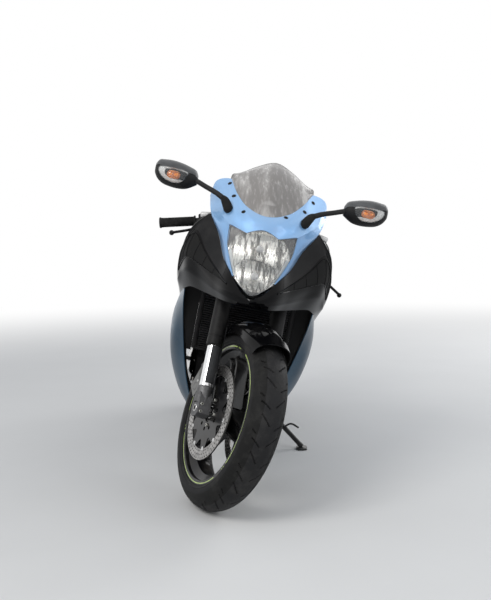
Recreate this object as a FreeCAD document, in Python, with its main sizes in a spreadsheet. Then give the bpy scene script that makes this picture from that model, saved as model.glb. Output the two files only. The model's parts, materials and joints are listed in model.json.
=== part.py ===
import FreeCAD, Part
import math
import os
import re

import Sketcher

# A sport motorcycle with a full fairing, parked on its side stand with the bars on the left stop.
# Bike axes, before it leans: +X its left, -Y ahead, +Z up, origin on the ground half way between the axles.
# Fork axes: origin in the steering head, +Z up along the steering axis. Wheel axes: origin on the axle.
# Each body is drawn upright in its own axes and then gets its place at rest.

Vector, Rotation, Placement = FreeCAD.Vector, FreeCAD.Rotation, FreeCAD.Placement

# The driving dimensions, in millimetres and degrees: name, value, meaning.
SIZES = [
    ("lean_angle", 12.5, "lean to the left on the side stand"),
    ("steering_lock", 24, "steering either side of straight"),
    ("rake_angle", 23.8, "steering axis back from upright"),
    ("head_y", -444, "middle of the steering head"),
    ("head_z", 800, "middle of the steering head"),
    ("fork_drop", 560.5, "steering head to front axle, along the axis"),
    ("fork_offset", 32, "front axle ahead of the steering axis"),
    ("fork_spread", 208, "between the fork leg centres"),
    ("fork_tube_radius", 27, "outer tube, at the top"),
    ("stanchion_radius", 21, "sliding tube, below"),
    ("fork_top", 128, "leg top above the middle of the steering head"),
    ("fork_tube_length", 476, "outer tube"),
    ("fork_overlap", 150, "sliding tube inside the outer tube"),
    ("lug_radius", 27, "axle lug of a fork leg"),
    ("yoke_spread", 138, "between the two yokes"),
    ("top_yoke_depth", 20, "thickness"),
    ("bottom_yoke_depth", 28, "thickness"),
    ("stem_radius", 15, "steering stem"),
    ("head_tube_radius", 32, "steering head"),
    ("head_tube_length", 128, "steering head"),
    ("running_fit", 0.05, "radial, at each bearing"),
    ("front_tyre_radius", 300, "120/70-17"),
    ("front_crown_radius", 61, "tread arc"),
    ("front_tread_half", 58, "half width at the tread's edge"),
    ("front_rim_half", 52, "half width over the rim's lips"),
    ("rear_tyre_radius", 315, "180/55-17"),
    ("rear_crown_radius", 92, "tread arc"),
    ("rear_tread_half", 87, "half width at the tread's edge"),
    ("rear_rim_half", 77, "half width over the rim's lips"),
    ("bead_radius", 222, "where tyre and rim meet"),
    ("tyre_wall", 9, "tyre thickness"),
    ("rim_lip", 5, "width of the rim's lip"),
    ("rim_drop", 22, "depth of the rim's well"),
    ("rim_wall", 7, "thickness of the rim"),
    ("spoke_root", 76, "spoke width at the hub"),
    ("spoke_tip", 46, "spoke width at the rim"),
    ("spoke_depth", 44, "thickness over the spoke's ribs"),
    ("spoke_web", 22, "thickness between the spoke's ribs"),
    ("spoke_rib", 10, "width of a rib"),
    ("spoke_count", 3, "spokes"),
    ("hub_radius", 36, "hub"),
    ("front_hub_half", 67, "half length of the front hub, to the disc faces"),
    ("rear_hub_half", 97, "half length of the rear hub, to the disc and sprocket faces"),
    ("flange_radius", 52, "hub flange under the discs"),
    ("flange_depth", 10, "hub flange"),
    ("axle_radius", 12, "both axles"),
    ("axle_bore", 8, "hollow front axle, radius"),
    ("front_disc_radius", 155, "brake disc"),
    ("front_disc_inner", 46, "inside of the disc carrier"),
    ("rear_disc_radius", 110, "brake disc"),
    ("disc_thickness", 5, "brake discs"),
    ("swingarm_length", 547.4, "pivot to rear axle"),
    ("arm_droop", 9.46, "swingarm slope"),
    ("pivot_y", 160, "swingarm pivot"),
    ("pivot_z", 405, "swingarm pivot"),
    ("arm_inner", 115, "inner face of each arm"),
    ("arm_width", 34, "thickness of each arm"),
    ("arm_tail", 26, "half height of each arm at the axle"),
    ("pivot_tube_radius", 20, "swingarm pivot"),
    ("plate_inner", 118, "inner face of the frame's pivot plates"),
    ("plate_width", 32, "thickness of the frame's pivot plates"),
    ("chain_line", 103, "chain from the middle plane"),
    ("chain_width", 12, "chain"),
    ("chain_half", 7.5, "half height of a link"),
    ("front_sprocket_radius", 40.7, "pitch radius"),
    ("rear_sprocket_radius", 108.7, "pitch radius"),
    ("sprocket_clearance", 1, "rear sprocket rim under the chain"),
    ("sprocket_width", 8, "rear sprocket"),
    ("output_y", 88, "front sprocket centre"),
    ("output_z", 402, "front sprocket centre"),
    ("engine_half", 150, "half width of the crankcase"),
    ("gearbox_half", 86, "half width behind the crankcase"),
    ("clutch_radius", 80, "clutch cover"),
    ("clutch_depth", 26, "clutch cover"),
    ("alternator_radius", 75, "alternator cover"),
    ("alternator_depth", 38, "alternator cover"),
    ("pipe_radius", 18, "exhaust pipes"),
    ("radiator_width", 340, "core and tanks"),
    ("radiator_height", 250, "core and tanks"),
    ("radiator_depth", 30, "core and tanks"),
    ("radiator_tilt", 15, "top leaning ahead"),
    ("cowl_wall", 3.5, "fairing panels"),
    ("screen_wall", 3, "windscreen and lens"),
    ("bar_radius", 11, "handlebar tube"),
    ("grip_radius", 17, "rubber grip"),
    ("grip_length", 122, "rubber grip"),
    ("clamp_radius", 37, "handlebar clamp round a fork leg"),
    ("stand_x", 121, "side stand pivot"),
    ("stand_y", 84, "side stand pivot"),
    ("stand_z", 238, "side stand pivot"),
    ("stand_reach", 210, "foot outboard of the pivot"),
    ("stand_lead", 109, "foot ahead of the pivot"),
    ("stand_radius", 11, "stand leg"),
    ("stand_pin", 7, "stand pivot pin radius"),
    ("shroud_gap", 0.2, "radiator to the panels beside it"),
    ("pedal_gap", 16, "foot pedals outboard of the pivot plates"),
    ("peg_length", 92, "footrests"),
    ("peg_radius", 11, "footrests"),
]
# Sizes that follow from the others: name, formula.
RESULTS = [
    ("front_y", "head_y - fork_offset * cos(rake_angle) - fork_drop * sin(rake_angle)"),
    ("front_z", "head_z + fork_offset * sin(rake_angle) - fork_drop * cos(rake_angle)"),
    ("rear_y", "pivot_y + swingarm_length * cos(arm_droop)"),
    ("rear_z", "pivot_z - swingarm_length * sin(arm_droop)"),
    ("chain_run", "sqrt((rear_y - output_y) ^ 2 + (rear_z - output_z) ^ 2)"),
    ("chain_slope", "atan2(rear_z - output_z; rear_y - output_y) / 1 deg"),
    ("chain_splay", "asin((rear_sprocket_radius - front_sprocket_radius) / chain_run) / 1 deg"),
    ("chain_top", "chain_slope + 90 + chain_splay"),
    ("chain_low", "chain_slope - 90 - chain_splay"),
]

doc = FreeCAD.newDocument("SportBike")
sheet = doc.addObject("Spreadsheet::Sheet", "Sizes")
NAMES = {name for name, _, _ in SIZES} | {name for name, _ in RESULTS}
for row, (name, value, meaning) in enumerate(SIZES, 1):
    sheet.set(f"A{row}", name)
    sheet.set(f"B{row}", str(value))
    sheet.set(f"C{row}", meaning)
    sheet.setAlias(f"B{row}", name)
for row, (name, formula) in enumerate(RESULTS, len(SIZES) + 1):
    sheet.set(f"A{row}", name)
    sheet.set(f"B{row}", "=" + formula)
    sheet.setAlias(f"B{row}", name)
doc.recompute()


def bound(formula):
    """A formula in the sheet's names, as an object's expression."""
    return re.sub(r"[a-z_]+", lambda word: "Sizes." + word[0] if word[0] in NAMES else word[0], str(formula))


def number(formula):
    """The value of a formula, worked out in a spare cell of the sheet."""
    sheet.set("F1", "=" + str(formula))
    sheet.recompute()
    return float(sheet.get("F1"))


# Building blocks: primitives, booleans and sketched bodies.
def new(kind, name):
    return doc.addObject(kind, name)


def put(item, at, turn=None):
    """Bind where an object's origin sits, and turn it."""
    item.Placement = Placement(Vector(), turn or Rotation())
    for axis, formula in zip("xyz", at):
        item.setExpression(f"Placement.Base.{axis}", bound(formula))
    return item


TURNS = {"x": Rotation(Vector(0, 1, 0), 90), "y": Rotation(Vector(1, 0, 0), -90), "z": Rotation()}


def box(name, low, high):
    """A box from its low corner to its high corner."""
    item = new("Part::Box", name)
    for side, a, b in zip(("Length", "Width", "Height"), low, high):
        item.setExpression(side, bound(f"({b}) - ({a})"))
    return put(item, low)


def rod(name, radius, start, length, axis="x"):
    """A cylinder from a start point along an axis."""
    item = new("Part::Cylinder", name)
    item.setExpression("Radius", bound(radius))
    item.setExpression("Height", bound(length))
    return put(item, start, TURNS[axis])


def strut(name, radius, start, end):
    """A cylinder between two points."""
    item = new("Part::Cylinder", name)
    item.setExpression("Radius", bound(radius))
    a, b = Vector(*map(number, start)), Vector(*map(number, end))
    item.Height = (b - a).Length
    return put(item, start, Rotation(Vector(0, 0, 1), b - a))


def ball(name, radius, at):
    item = new("Part::Sphere", name)
    item.setExpression("Radius", bound(radius))
    return put(item, at)


def fuse(name, *shapes):
    item = new("Part::MultiFuse", name)
    item.Shapes = list(shapes)
    return item


def cut(name, base, *tools):
    item = new("Part::Cut", name)
    item.Base = base
    item.Tool = tools[0] if len(tools) == 1 else fuse(name + "_tools", *tools)
    return item


def gather(name, *shapes):
    item = new("Part::Compound", name)
    item.Links = list(shapes)
    return item


def mirrored(name, source):
    item = new("Part::Mirroring", name)
    item.Source = source
    item.Normal = Vector(1, 0, 0)
    return item


def feature(body, kind, name):
    item = body.newObject("PartDesign::" + kind, name)
    body.Tip = item
    return item


def origin_part(body, role):
    return [item for item in body.Origin.OriginFeatures if item.Role == role][0]


def outline(body, name, role, corners, offset=None):
    """A closed sketch through corners (x, y); (x, y, centre x, centre y) where an arc runs to the next corner,
    and with "far" added where that arc is more than half a circle."""
    sketch = body.newObject("Sketcher::SketchObject", name)
    sketch.AttachmentSupport = [(origin_part(body, role), "")]
    sketch.MapMode = "FlatFace"
    if offset is not None:
        sketch.setExpression("AttachmentOffset.Base.z", bound(offset))
    count = len(corners)
    points = [Vector(number(corner[0]), number(corner[1]), 0) for corner in corners]
    after_arc, ends = set(), []
    for index, corner in enumerate(corners):
        a, b = points[index], points[(index + 1) % count]
        if len(corner) > 2:
            middle = Vector(number(corner[2]), number(corner[3]), 0)
            first, last = (math.atan2(point.y - middle.y, point.x - middle.x) for point in (a, b))
            forward = ((last - first) % math.tau < math.pi) != (len(corner) == 5)
            if not forward:
                first, last = last, first
            circle = Part.Circle(middle, Vector(0, 0, 1), (a - middle).Length)
            sketch.addGeometry(Part.ArcOfCircle(circle, first, last), False)
            ends.append((1, 2) if forward else (2, 1))
            after_arc.add((index + 1) % count)
        else:
            sketch.addGeometry(Part.LineSegment(a, b), False)
            ends.append((1, 2))
    for index in range(count):
        after = (index + 1) % count
        sketch.addConstraint(Sketcher.Constraint("Coincident", index, ends[index][1], after, ends[after][0]))

    def fix(kind, line, end, formula):
        value = number(formula)
        if abs(value) < 1e-9:
            sketch.addConstraint(Sketcher.Constraint("PointOnObject", line, end, -2 if kind == "DistanceX" else -1))
            return
        index = sketch.addConstraint(Sketcher.Constraint(kind, -1, 1, line, end, value))
        sketch.setExpression(f"Constraints[{index}]", bound(formula))

    for index, corner in enumerate(corners):
        fix("DistanceX", index, ends[index][0], corner[0])
        if index not in after_arc:
            fix("DistanceY", index, ends[index][0], corner[1])
        if len(corner) > 2:
            fix("DistanceX", index, 3, corner[2])
            fix("DistanceY", index, 3, corner[3])
    return sketch


def pad(body, sketch, name, length, symmetric=True):
    item = feature(body, "Pad", name)
    item.Profile = sketch
    item.SideType = "Symmetric" if symmetric else "One side"
    item.setExpression("Length", bound(length))
    return item


def turned(body, sketch, name):
    """Revolve a sketch about its own horizontal axis."""
    item = feature(body, "Revolution", name)
    item.Profile = sketch
    item.ReferenceAxis = (sketch, ["H_Axis"])
    item.Angle = 360
    return item


def prism(name, role, corners, length, offset=None, symmetric=True):
    """A body padded from one outline."""
    body = new("PartDesign::Body", name)
    pad(body, outline(body, name + "_outline", role, corners, offset), name + "_pad", length, symmetric)
    return body


def lathe(name, corners):
    """A body turned about the X axis from an outline (x, radius)."""
    body = new("PartDesign::Body", name)
    turned(body, outline(body, name + "_outline", "XY_Plane", corners), name + "_turned")
    return body


def faceted(name, rings):
    """A solid through rings of equal, even numbers of points, closed at both ends."""
    points = [tuple(point) for ring in rings for point in ring]
    count = len(rings[0])
    faces = []
    for ring in range(len(rings) - 1):
        for k in range(count):
            a, b = ring * count + k, ring * count + (k + 1) % count
            c, d = b + count, a + count
            faces += [(a, b, c), (a, c, d)]
    for start, flip in ((0, 1), (len(points) - count, -1)):
        for k in range(count // 2 - 1):
            a, b, c, d = (start + i for i in (k, k + 1, count - 2 - k, count - 1 - k))
            faces += [(a, c, b)[::flip], (a, d, c)[::flip]]
    vectors = [Vector(*point) for point in points]
    if sum(vectors[a].dot(vectors[b].cross(vectors[c])) for a, b, c in faces) < 0:
        faces = [face[::-1] for face in faces]
    shell = Part.Shape()
    shell.makeShapeFromMesh((vectors, faces), 0.001)
    solid = Part.Solid(Part.Shell(shell.Faces))
    item = new("Part::Feature", name)
    item.Shape = solid
    return item


def skin(name, ribs, thickness, inside):
    """A panel through ribs of outer points, its thickness on the side of an inner point."""
    rows = [[Vector(*point) for point in rib] for rib in ribs]
    normals = []
    for i, row in enumerate(rows):
        line = []
        for j in range(len(row)):
            across = rows[min(i + 1, len(rows) - 1)][j] - rows[max(i - 1, 0)][j]
            along = row[min(j + 1, len(row) - 1)] - row[max(j - 1, 0)]
            line.append(across.cross(along).normalize())
        normals.append(line)
    middle = rows[len(rows) // 2][len(rows[0]) // 2]
    sign = 1 if normals[len(rows) // 2][len(rows[0]) // 2].dot(Vector(*inside) - middle) > 0 else -1
    wall = number(thickness) * sign
    rings = [row + [p + n * wall for p, n in zip(row, line)][::-1] for row, line in zip(rows, normals)]
    return faceted(name, rings)


def block(name, stations):
    """A solid through stations, each a ring of (x, y, z) points."""
    return faceted(name, stations)


def rounded_path(points, bend):
    """A wire through points, its corners rounded."""
    edges, start = [], points[0]
    for before, corner, after in zip(points, points[1:], points[2:]):
        back, on = (before - corner).normalize(), (after - corner).normalize()
        half = back.getAngle(on) / 2
        room = 0.45 * min((before - corner).Length, (after - corner).Length)
        away = min(bend / math.tan(half), room)
        middle = corner + (back + on).normalize() * (away / math.cos(half) - away * math.tan(half))
        a, b = corner + back * away, corner + on * away
        edges += [Part.LineSegment(start, a).toShape(), Part.Arc(a, middle, b).toShape()]
        start = b
    edges.append(Part.LineSegment(start, points[-1]).toShape())
    return Part.Wire(edges)


def swept(name, radius, path, bend=40):
    """A round bar along a path of points, with rounded corners."""
    points = [Vector(*map(number, point)) for point in path]
    line = new("Part::Feature", name + "_path")
    line.Shape = rounded_path(points, bend)
    end = new("Part::Circle", name + "_end")
    end.setExpression("Radius", bound(radius))
    end.Placement = Placement(points[0], Rotation(Vector(0, 0, 1), points[1] - points[0]))
    item = new("Part::Sweep", name)
    item.Sections = [end]
    item.Spine = (line, [])
    item.Solid = True
    return item


def across(points):
    """The points and then their mirror images, back to the start."""
    return [tuple(p) for p in points] + [(-p[0], p[1], p[2]) for p in reversed(points)]


nodes = {}

# Wheels, in wheel axes.
for end in ("front", "rear"):
    lip, seat = f"{end}_rim_half", f"{end}_rim_half - rim_lip"
    crown = f"{end}_tyre_radius - {end}_crown_radius"
    edge = f"{crown} + sqrt({end}_crown_radius ^ 2 - {end}_tread_half ^ 2)"
    inner = f"{end}_tread_half - tyre_wall"
    nodes[end + "_tyre"] = lathe(end + "_tyre", [
        (f"-{end}_tread_half", edge, "0", crown),
        (f"{end}_tread_half", edge),
        (f"{end}_tread_half + 1", f"{edge} - 16"),
        (lip, "bead_radius + 7"),
        (seat, "bead_radius + 7"),
        (seat, "bead_radius"),
        (f"{seat} - tyre_wall", "bead_radius"),
        (f"{inner} - 4", f"{edge} - 12"),
        (f"{end}_tread_half / 2", f"{end}_tyre_radius - 2 * tyre_wall - {end}_tread_half / 9"),
        (f"-{end}_tread_half / 2", f"{end}_tyre_radius - 2 * tyre_wall - {end}_tread_half / 9"),
        (f"-({inner} - 4)", f"{edge} - 12"),
        (f"-({seat} - tyre_wall)", "bead_radius"),
        (f"-({seat})", "bead_radius"),
        (f"-({seat})", "bead_radius + 7"),
        (f"-({lip})", "bead_radius + 7"),
        (f"-({end}_tread_half + 1)", f"{edge} - 16"),
    ])
    rim = new("PartDesign::Body", end + "_rim")
    hub = f"{end}_hub_half"
    turned(rim, outline(rim, end + "_hub", "XY_Plane", [
        (f"-{hub}", "axle_radius + running_fit"),
        (hub, "axle_radius + running_fit"),
        (hub, "flange_radius"),
        (f"{hub} - flange_depth", "flange_radius"),
        (f"{hub} - flange_depth", "hub_radius"),
        (f"-({hub} - flange_depth)", "hub_radius"),
        (f"-({hub} - flange_depth)", "flange_radius"),
        (f"-{hub}", "flange_radius"),
    ]), end + "_hub_turned")
    reach = "bead_radius - rim_drop - rim_wall / 2"
    web = pad(rim, outline(rim, end + "_spoke", "YZ_Plane", [
        ("-spoke_root / 2", "hub_radius / 2"),
        ("spoke_root / 2", "hub_radius / 2"),
        ("spoke_tip / 2", reach),
        ("-spoke_tip / 2", reach),
    ]), end + "_spoke_web", "spoke_web")
    ribs = []
    for side, sign in (("left", ""), ("right", "-")):
        ribs.append(pad(rim, outline(rim, f"{end}_rib_{side}", "YZ_Plane", [
            (f"{sign}(spoke_root / 2)", "hub_radius / 2"),
            (f"{sign}(spoke_tip / 2)", reach),
            (f"{sign}(spoke_tip / 2 - spoke_rib)", reach),
            (f"{sign}(spoke_root / 2 - spoke_rib)", "hub_radius / 2"),
        ]), f"{end}_spoke_rib_{side}", "spoke_depth"))
    ring = feature(rim, "PolarPattern", end + "_spokes")
    ring.Originals = [web] + ribs
    ring.Axis = (origin_part(rim, "X_Axis"), [""])
    ring.Angle = 360
    ring.setExpression("Occurrences", bound("spoke_count"))
    turned(rim, outline(rim, end + "_barrel", "XY_Plane", [
        (f"-({lip})", "bead_radius + 7"),
        (f"-({seat})", "bead_radius + 7"),
        (f"-({seat})", "bead_radius"),
        (f"-({seat} - 14)", "bead_radius"),
        (f"-({seat} - 26)", "bead_radius - rim_drop"),
        (f"{seat} - 26", "bead_radius - rim_drop"),
        (f"{seat} - 14", "bead_radius"),
        (seat, "bead_radius"),
        (seat, "bead_radius + 7"),
        (lip, "bead_radius + 7"),
        (lip, "bead_radius - rim_wall"),
        (f"{seat} - 11", "bead_radius - rim_wall"),
        (f"{seat} - 23", "bead_radius - rim_drop - rim_wall"),
        (f"-({seat} - 23)", "bead_radius - rim_drop - rim_wall"),
        (f"-({seat} - 11)", "bead_radius - rim_wall"),
        (f"-({lip})", "bead_radius - rim_wall"),
    ]), end + "_barrel_turned")
    nodes[end + "_rim"] = rim


def plate(name, face, thickness, outer, inner):
    """A flat ring on the X axis from a face, as a body."""
    return lathe(name, [(face, inner), (f"{face} + {thickness}", inner), (f"{face} + {thickness}", outer),
                        (face, outer)])


left_disc = plate("left_disc", "front_hub_half", "disc_thickness", "front_disc_radius", "front_disc_inner")
nodes["front_discs"] = gather("front_discs", left_disc, mirrored("right_disc", left_disc))
nodes["rear_disc"] = plate("rear_disc", "-rear_hub_half - disc_thickness", "disc_thickness", "rear_disc_radius",
                           "hub_radius")
nodes["rear_sprocket"] = plate("rear_sprocket", "rear_hub_half", "sprocket_width",
                               "rear_sprocket_radius - chain_half - sprocket_clearance", "hub_radius")

# Front fork and steering, in fork axes.
leg = ("fork_spread / 2", "-fork_offset")
axle_height = "-fork_drop"
yoke_corners = [(70, -66), (120, -68), (140, -50), (140, -14), (120, 4), (40, 30)]
for name, low, depth in (("top_yoke", "yoke_spread / 2", "top_yoke_depth"),
                         ("bottom_yoke", "-yoke_spread / 2 - bottom_yoke_depth", "bottom_yoke_depth")):
    corners = yoke_corners + [(-x, y) for x, y in reversed(yoke_corners)]
    plain = prism(name + "_plate", "XY_Plane", corners, depth, low, symmetric=False)
    holes = [rod(f"{name}_{side}", "fork_tube_radius", (f"{sign}{leg[0]}", leg[1], f"{low} - 1"), f"{depth} + 2", "z")
             for side, sign in (("left_hole", ""), ("right_hole", "-"))]
    if name == "top_yoke":
        holes.append(rod("top_yoke_stem_hole", "stem_radius", ("0", "0", f"{low} - 1"), f"{depth} + 2", "z"))
        nodes[name] = cut(name, plain, *holes)
    else:
        bored = cut("bottom_yoke_bored", plain, *holes)
        stem = rod("stem", "stem_radius", ("0", "0", low), "yoke_spread + bottom_yoke_depth + top_yoke_depth", "z")
        nut = rod("stem_nut", "stem_radius + 5", ("0", "0", "yoke_spread / 2 + top_yoke_depth"), "9", "z")
        nodes[name] = fuse(name, bored, stem, nut)

outer = rod("fork_tube", "fork_tube_radius", (leg[0], leg[1], "fork_top - fork_tube_length"), "fork_tube_length", "z")
bore = rod("fork_bore", "stanchion_radius", (leg[0], leg[1], "fork_top - fork_tube_length - 1"),
           "fork_overlap + 1", "z")
left_tube = cut("left_fork_tube", outer, bore)
nodes["fork_tubes"] = gather("fork_tubes", left_tube, mirrored("right_fork_tube", left_tube))

slider = rod("slider", "stanchion_radius", (leg[0], leg[1], axle_height),
             "fork_drop + fork_top - fork_tube_length + fork_overlap", "z")
lug = rod("axle_lug", "lug_radius", ("fork_spread / 2 - stanchion_radius - 1", leg[1], axle_height),
          "2 * stanchion_radius + 2")
bracket = prism("caliper_bracket", "YZ_Plane", [
    ("-fork_offset - 12", f"{axle_height} + 60"),
    ("-fork_offset - 12", f"{axle_height} + 150"),
    ("-fork_offset + 30", f"{axle_height} + 175"),
    ("-fork_offset + 84.3", f"{axle_height} + 160.9"),
    ("-fork_offset + 41.5", f"{axle_height} + 113.3"),
    ("-fork_offset + 18", f"{axle_height} + 80"),
], "16", "fork_spread / 2 - 20", symmetric=False)
axle_hole = rod("axle_hole", "axle_radius", ("fork_spread / 2 - 30", leg[1], axle_height), "60")
left_lower = cut("left_fork_lower", fuse("left_lower_solid", slider, lug, bracket), axle_hole)
nodes["fork_lowers"] = gather("fork_lowers", left_lower, mirrored("right_fork_lower", left_lower))

caliper_block = prism("caliper_block", "YZ_Plane", [
    ("-fork_offset + 41.5", f"{axle_height} + 113.3"),
    ("-fork_offset + 84.3", f"{axle_height} + 160.9"),
    ("-fork_offset + 151.2", f"{axle_height} + 100.7"),
    ("-fork_offset + 108.4", f"{axle_height} + 53.1"),
], "42", "54", symmetric=False)
caliper_slot = rod("caliper_slot", "front_disc_radius + 6", ("front_hub_half - 5", leg[1], axle_height),
                   "disc_thickness + 10")
left_caliper = cut("left_caliper", caliper_block, caliper_slot)
nodes["front_calipers"] = gather("front_calipers", left_caliper, mirrored("right_caliper", left_caliper))

spindle = rod("front_spindle", "axle_radius", ("-fork_spread / 2 - 22", leg[1], axle_height), "fork_spread + 44")
axle_bore = rod("front_axle_bore", "axle_bore", ("-fork_spread / 2 - 23", leg[1], axle_height), "fork_spread + 46")
collars = [rod(f"front_collar_{side}", "axle_radius + 6", (start, leg[1], axle_height),
               "fork_spread / 2 - stanchion_radius - 1 - front_hub_half - 0.5")
           for side, start in (("left", "front_hub_half + 0.5"), ("right", "-(fork_spread / 2 - stanchion_radius - 1)"))]
nodes["front_axle"] = cut("front_axle", fuse("front_axle_solid", spindle, *collars), axle_bore)

# Mudguard section (x, radius) round the tyre, at angles back from upright.
GUARD = [(-74, 262), (-70, 286), (-50, 308), (-25, 319), (0, 322), (25, 319), (50, 308), (70, 286), (74, 262)]
GUARD_ANGLES = (-28, -15, -2, 12, 27, 44, 60)
offset, drop = number("fork_offset"), number("fork_drop")
ribs = []
for angle in GUARD_ANGLES:
    c, s = math.cos(math.radians(angle - 24)), math.sin(math.radians(angle - 24))
    trim, rise = (0.88, 6) if angle in (-28, 60) else (1, 0)
    ribs.append([(x * trim, -offset + s * (r + rise), -drop + c * (r + rise)) for x, r in GUARD])
arch = skin("mudguard_arch", ribs, "cowl_wall", (0, -offset, -drop))
blade_face = "fork_spread / 2 - stanchion_radius"
blades = []
for side, start, bridge in (("left", f"{blade_face} - 6", "70"), ("right", f"-({blade_face})", "-80")):
    blades.append(rod(f"guard_bridge_{side}", "8", (bridge, leg[1], "fork_top - fork_tube_length + 64"), "10"))
    blades.append(box(f"guard_blade_{side}", (start, "-fork_offset - 16", f"{axle_height} + 30"),
                      (f"{start} + 6", "-fork_offset + 14", "fork_top - fork_tube_length + 76")))
legs = [rod(f"mudguard_leg_{side}", "fork_tube_radius + 0.3", (x, leg[1], "fork_top - fork_tube_length"), "84", "z")
        for side, x in (("left", leg[0]), ("right", "-" + leg[0]))]
nodes["front_mudguard"] = cut("front_mudguard", fuse("mudguard_solid", arch, *blades), *legs)

# Handlebars: clamp, bar, grip and lever of the left side, in fork axes.
yoke_face = number("yoke_spread / 2 + top_yoke_depth")
BAR_START, BAR_END = Vector(104, -32, yoke_face + 19), Vector(339, 98, yoke_face - 45)
along = (BAR_END - BAR_START).normalize()


def bar_point(share):
    return BAR_START + (BAR_END - BAR_START) * share


def slanted(name, radius, start, end):
    return strut(name, radius, tuple(start), tuple(end))


def sided(name, left):
    return gather(name, left, mirrored(name + "_right", left))


clamp_ring = rod("bar_clamp", "clamp_radius", (leg[0], leg[1], "yoke_spread / 2 + top_yoke_depth + 3"), "32", "z")
bar_tube = slanted("bar_tube", "bar_radius", BAR_START, BAR_END)
clamp_hole = rod("clamp_hole", "fork_tube_radius", (leg[0], leg[1], "yoke_spread / 2"), "100", "z")
nodes["handlebars"] = sided("handlebars", cut("left_bar", fuse("left_bar_solid", clamp_ring, bar_tube), clamp_hole,
                                               nodes["top_yoke"]))
grip_start = BAR_END - along * number("grip_length")
grip = slanted("grip_rubber", "grip_radius", grip_start, BAR_END)
grip_hole = slanted("grip_hole", "bar_radius", BAR_START, BAR_END + along * 2)
nodes["grips"] = sided("grips", cut("left_grip", grip, grip_hole))


def lever(name, bend, end):
    """A clamp round the bar, its arm and a ball-ended lever, on the left side."""
    pivot = (186, -34, yoke_face - 27)
    clamp = slanted(name + "_clamp", "bar_radius + 6", bar_point(0.27), bar_point(0.37))
    arm = slanted(name + "_arm", "9", bar_point(0.315), pivot)
    blade = swept(name + "_blade", "6", [pivot, bend, end])
    tip = ball(name + "_tip", "9", tuple(Vector(*end) + Vector(2, 2, -1)))
    hole = slanted(name + "_hole", "bar_radius", BAR_START, BAR_END)
    return cut(name + "_lever", fuse(name + "_solid", clamp, arm, blade, tip), hole)


clutch = lever("clutch", (246, 3, yoke_face - 52), (352, 12, yoke_face - 97))
brake = lever("brake", (232, -8, yoke_face - 53), (314, 20, yoke_face - 95))
nodes["levers"] = gather("levers", clutch, mirrored("right_lever", brake))
cup = rod("reservoir_cup", "20", ("-172", "-62", "yoke_spread / 2 + top_yoke_depth + 13"), "34", "z")
foot = slanted("reservoir_foot", "7", (-160, -1, yoke_face + 3), (-169, -56, yoke_face + 19))
nodes["brake_reservoir"] = cut("brake_reservoir", fuse("reservoir_solid", cup, foot), nodes["levers"],
                               nodes["handlebars"])

# Frame, in bike axes.
FORK_TURN = Rotation(Vector(1, 0, 0), -number("rake_angle"))
FORK = Placement(Vector(0, number("head_y"), number("head_z")), FORK_TURN)


def tilted(item):
    """Set an object drawn in fork axes into bike axes."""
    item.Placement = FORK.multiply(item.Placement)
    return item


head = new("Part::Cylinder", "head_tube")
head.setExpression("Radius", bound("head_tube_radius"))
head.setExpression("Height", bound("head_tube_length"))
head.Placement = Placement(Vector(0, 0, -number("head_tube_length") / 2), Rotation())
head_bore = new("Part::Cylinder", "head_bore")
head_bore.setExpression("Radius", bound("stem_radius + running_fit"))
head_bore.setExpression("Height", bound("head_tube_length + 80"))
head_bore.Placement = Placement(Vector(0, 0, -number("head_tube_length") / 2 - 40), Rotation())
tilted(head)
tilted(head_bore)

# Spar stations: y, top z, bottom z, inner x, outer x.
SPAR = [(-430, 828, 752, 8, 50), (-370, 778, 712, 60, 98), (-310, 770, 704, 106, 140), (-250, 776, 700, 154, 184),
        (-200, 790, 672, 164, 195), (-60, 790, 640, 174, 208), (40, 745, 610, 176, 208), (130, 640, 540, 158, 192), (190, 560, 500, 118, 176)]
spar = block("left_spar", [[(b, y, z1), (a, y, z1), (a, y, z2), (b, y, z2)] for y, z1, z2, a, b in SPAR])
pivot_plate = prism("pivot_plate", "YZ_Plane", [
    ("pivot_y - 70", "pivot_z + 150"),
    ("pivot_y + 45", "pivot_z + 165"),
    ("pivot_y + 45", "pivot_z - 40"),
    ("pivot_y - 10", "pivot_z - 105"),
    ("pivot_y - 60", "pivot_z - 105"),
    ("pivot_y - 36", "pivot_z"),
], "plate_width", "plate_inner", symmetric=False)
mounts = [
    box("head_mount", ("engine_half", "-235", "640"), ("engine_half + 22", "-185", "740")),
    rod("gearbox_mount_low", "12", ("gearbox_half", "112", "318"), "plate_inner + 4 - gearbox_half"),
    rod("gearbox_mount_high", "12", ("gearbox_half", "112", "476"), "plate_inner + 4 - gearbox_half"),
]
cowl_pegs = [
    rod("cowl_peg_front", "7", ("160", "-215", "662"), "97"),
    rod("cowl_peg_rear", "7", ("180", "-132", "672"), "62"),
]
spar_side = fuse("spar_side", spar, pivot_plate, *mounts, *cowl_pegs)
cross = box("frame_cross", ("-165", "168", "560"), ("165", "200", "592"))
pin_axis = Vector(0.617, -0.089, 0.782).normalize()
pin_at = Vector(*map(number, ("stand_x", "stand_y", "stand_z")))
lug_bar = slanted("stand_lug_bar", "12", (134, 118, 312), pin_at + pin_axis * 9)
lug_eye = slanted("stand_lug_eye", "16", pin_at, pin_at + pin_axis * 18)
lug_pin = slanted("stand_lug_pin", "stand_pin", pin_at - pin_axis * 34, pin_at + pin_axis * 10)
frame_solid = fuse("frame_solid", head, spar_side, mirrored("right_spar_side", spar_side), cross, lug_bar, lug_eye,
                   lug_pin)

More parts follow.
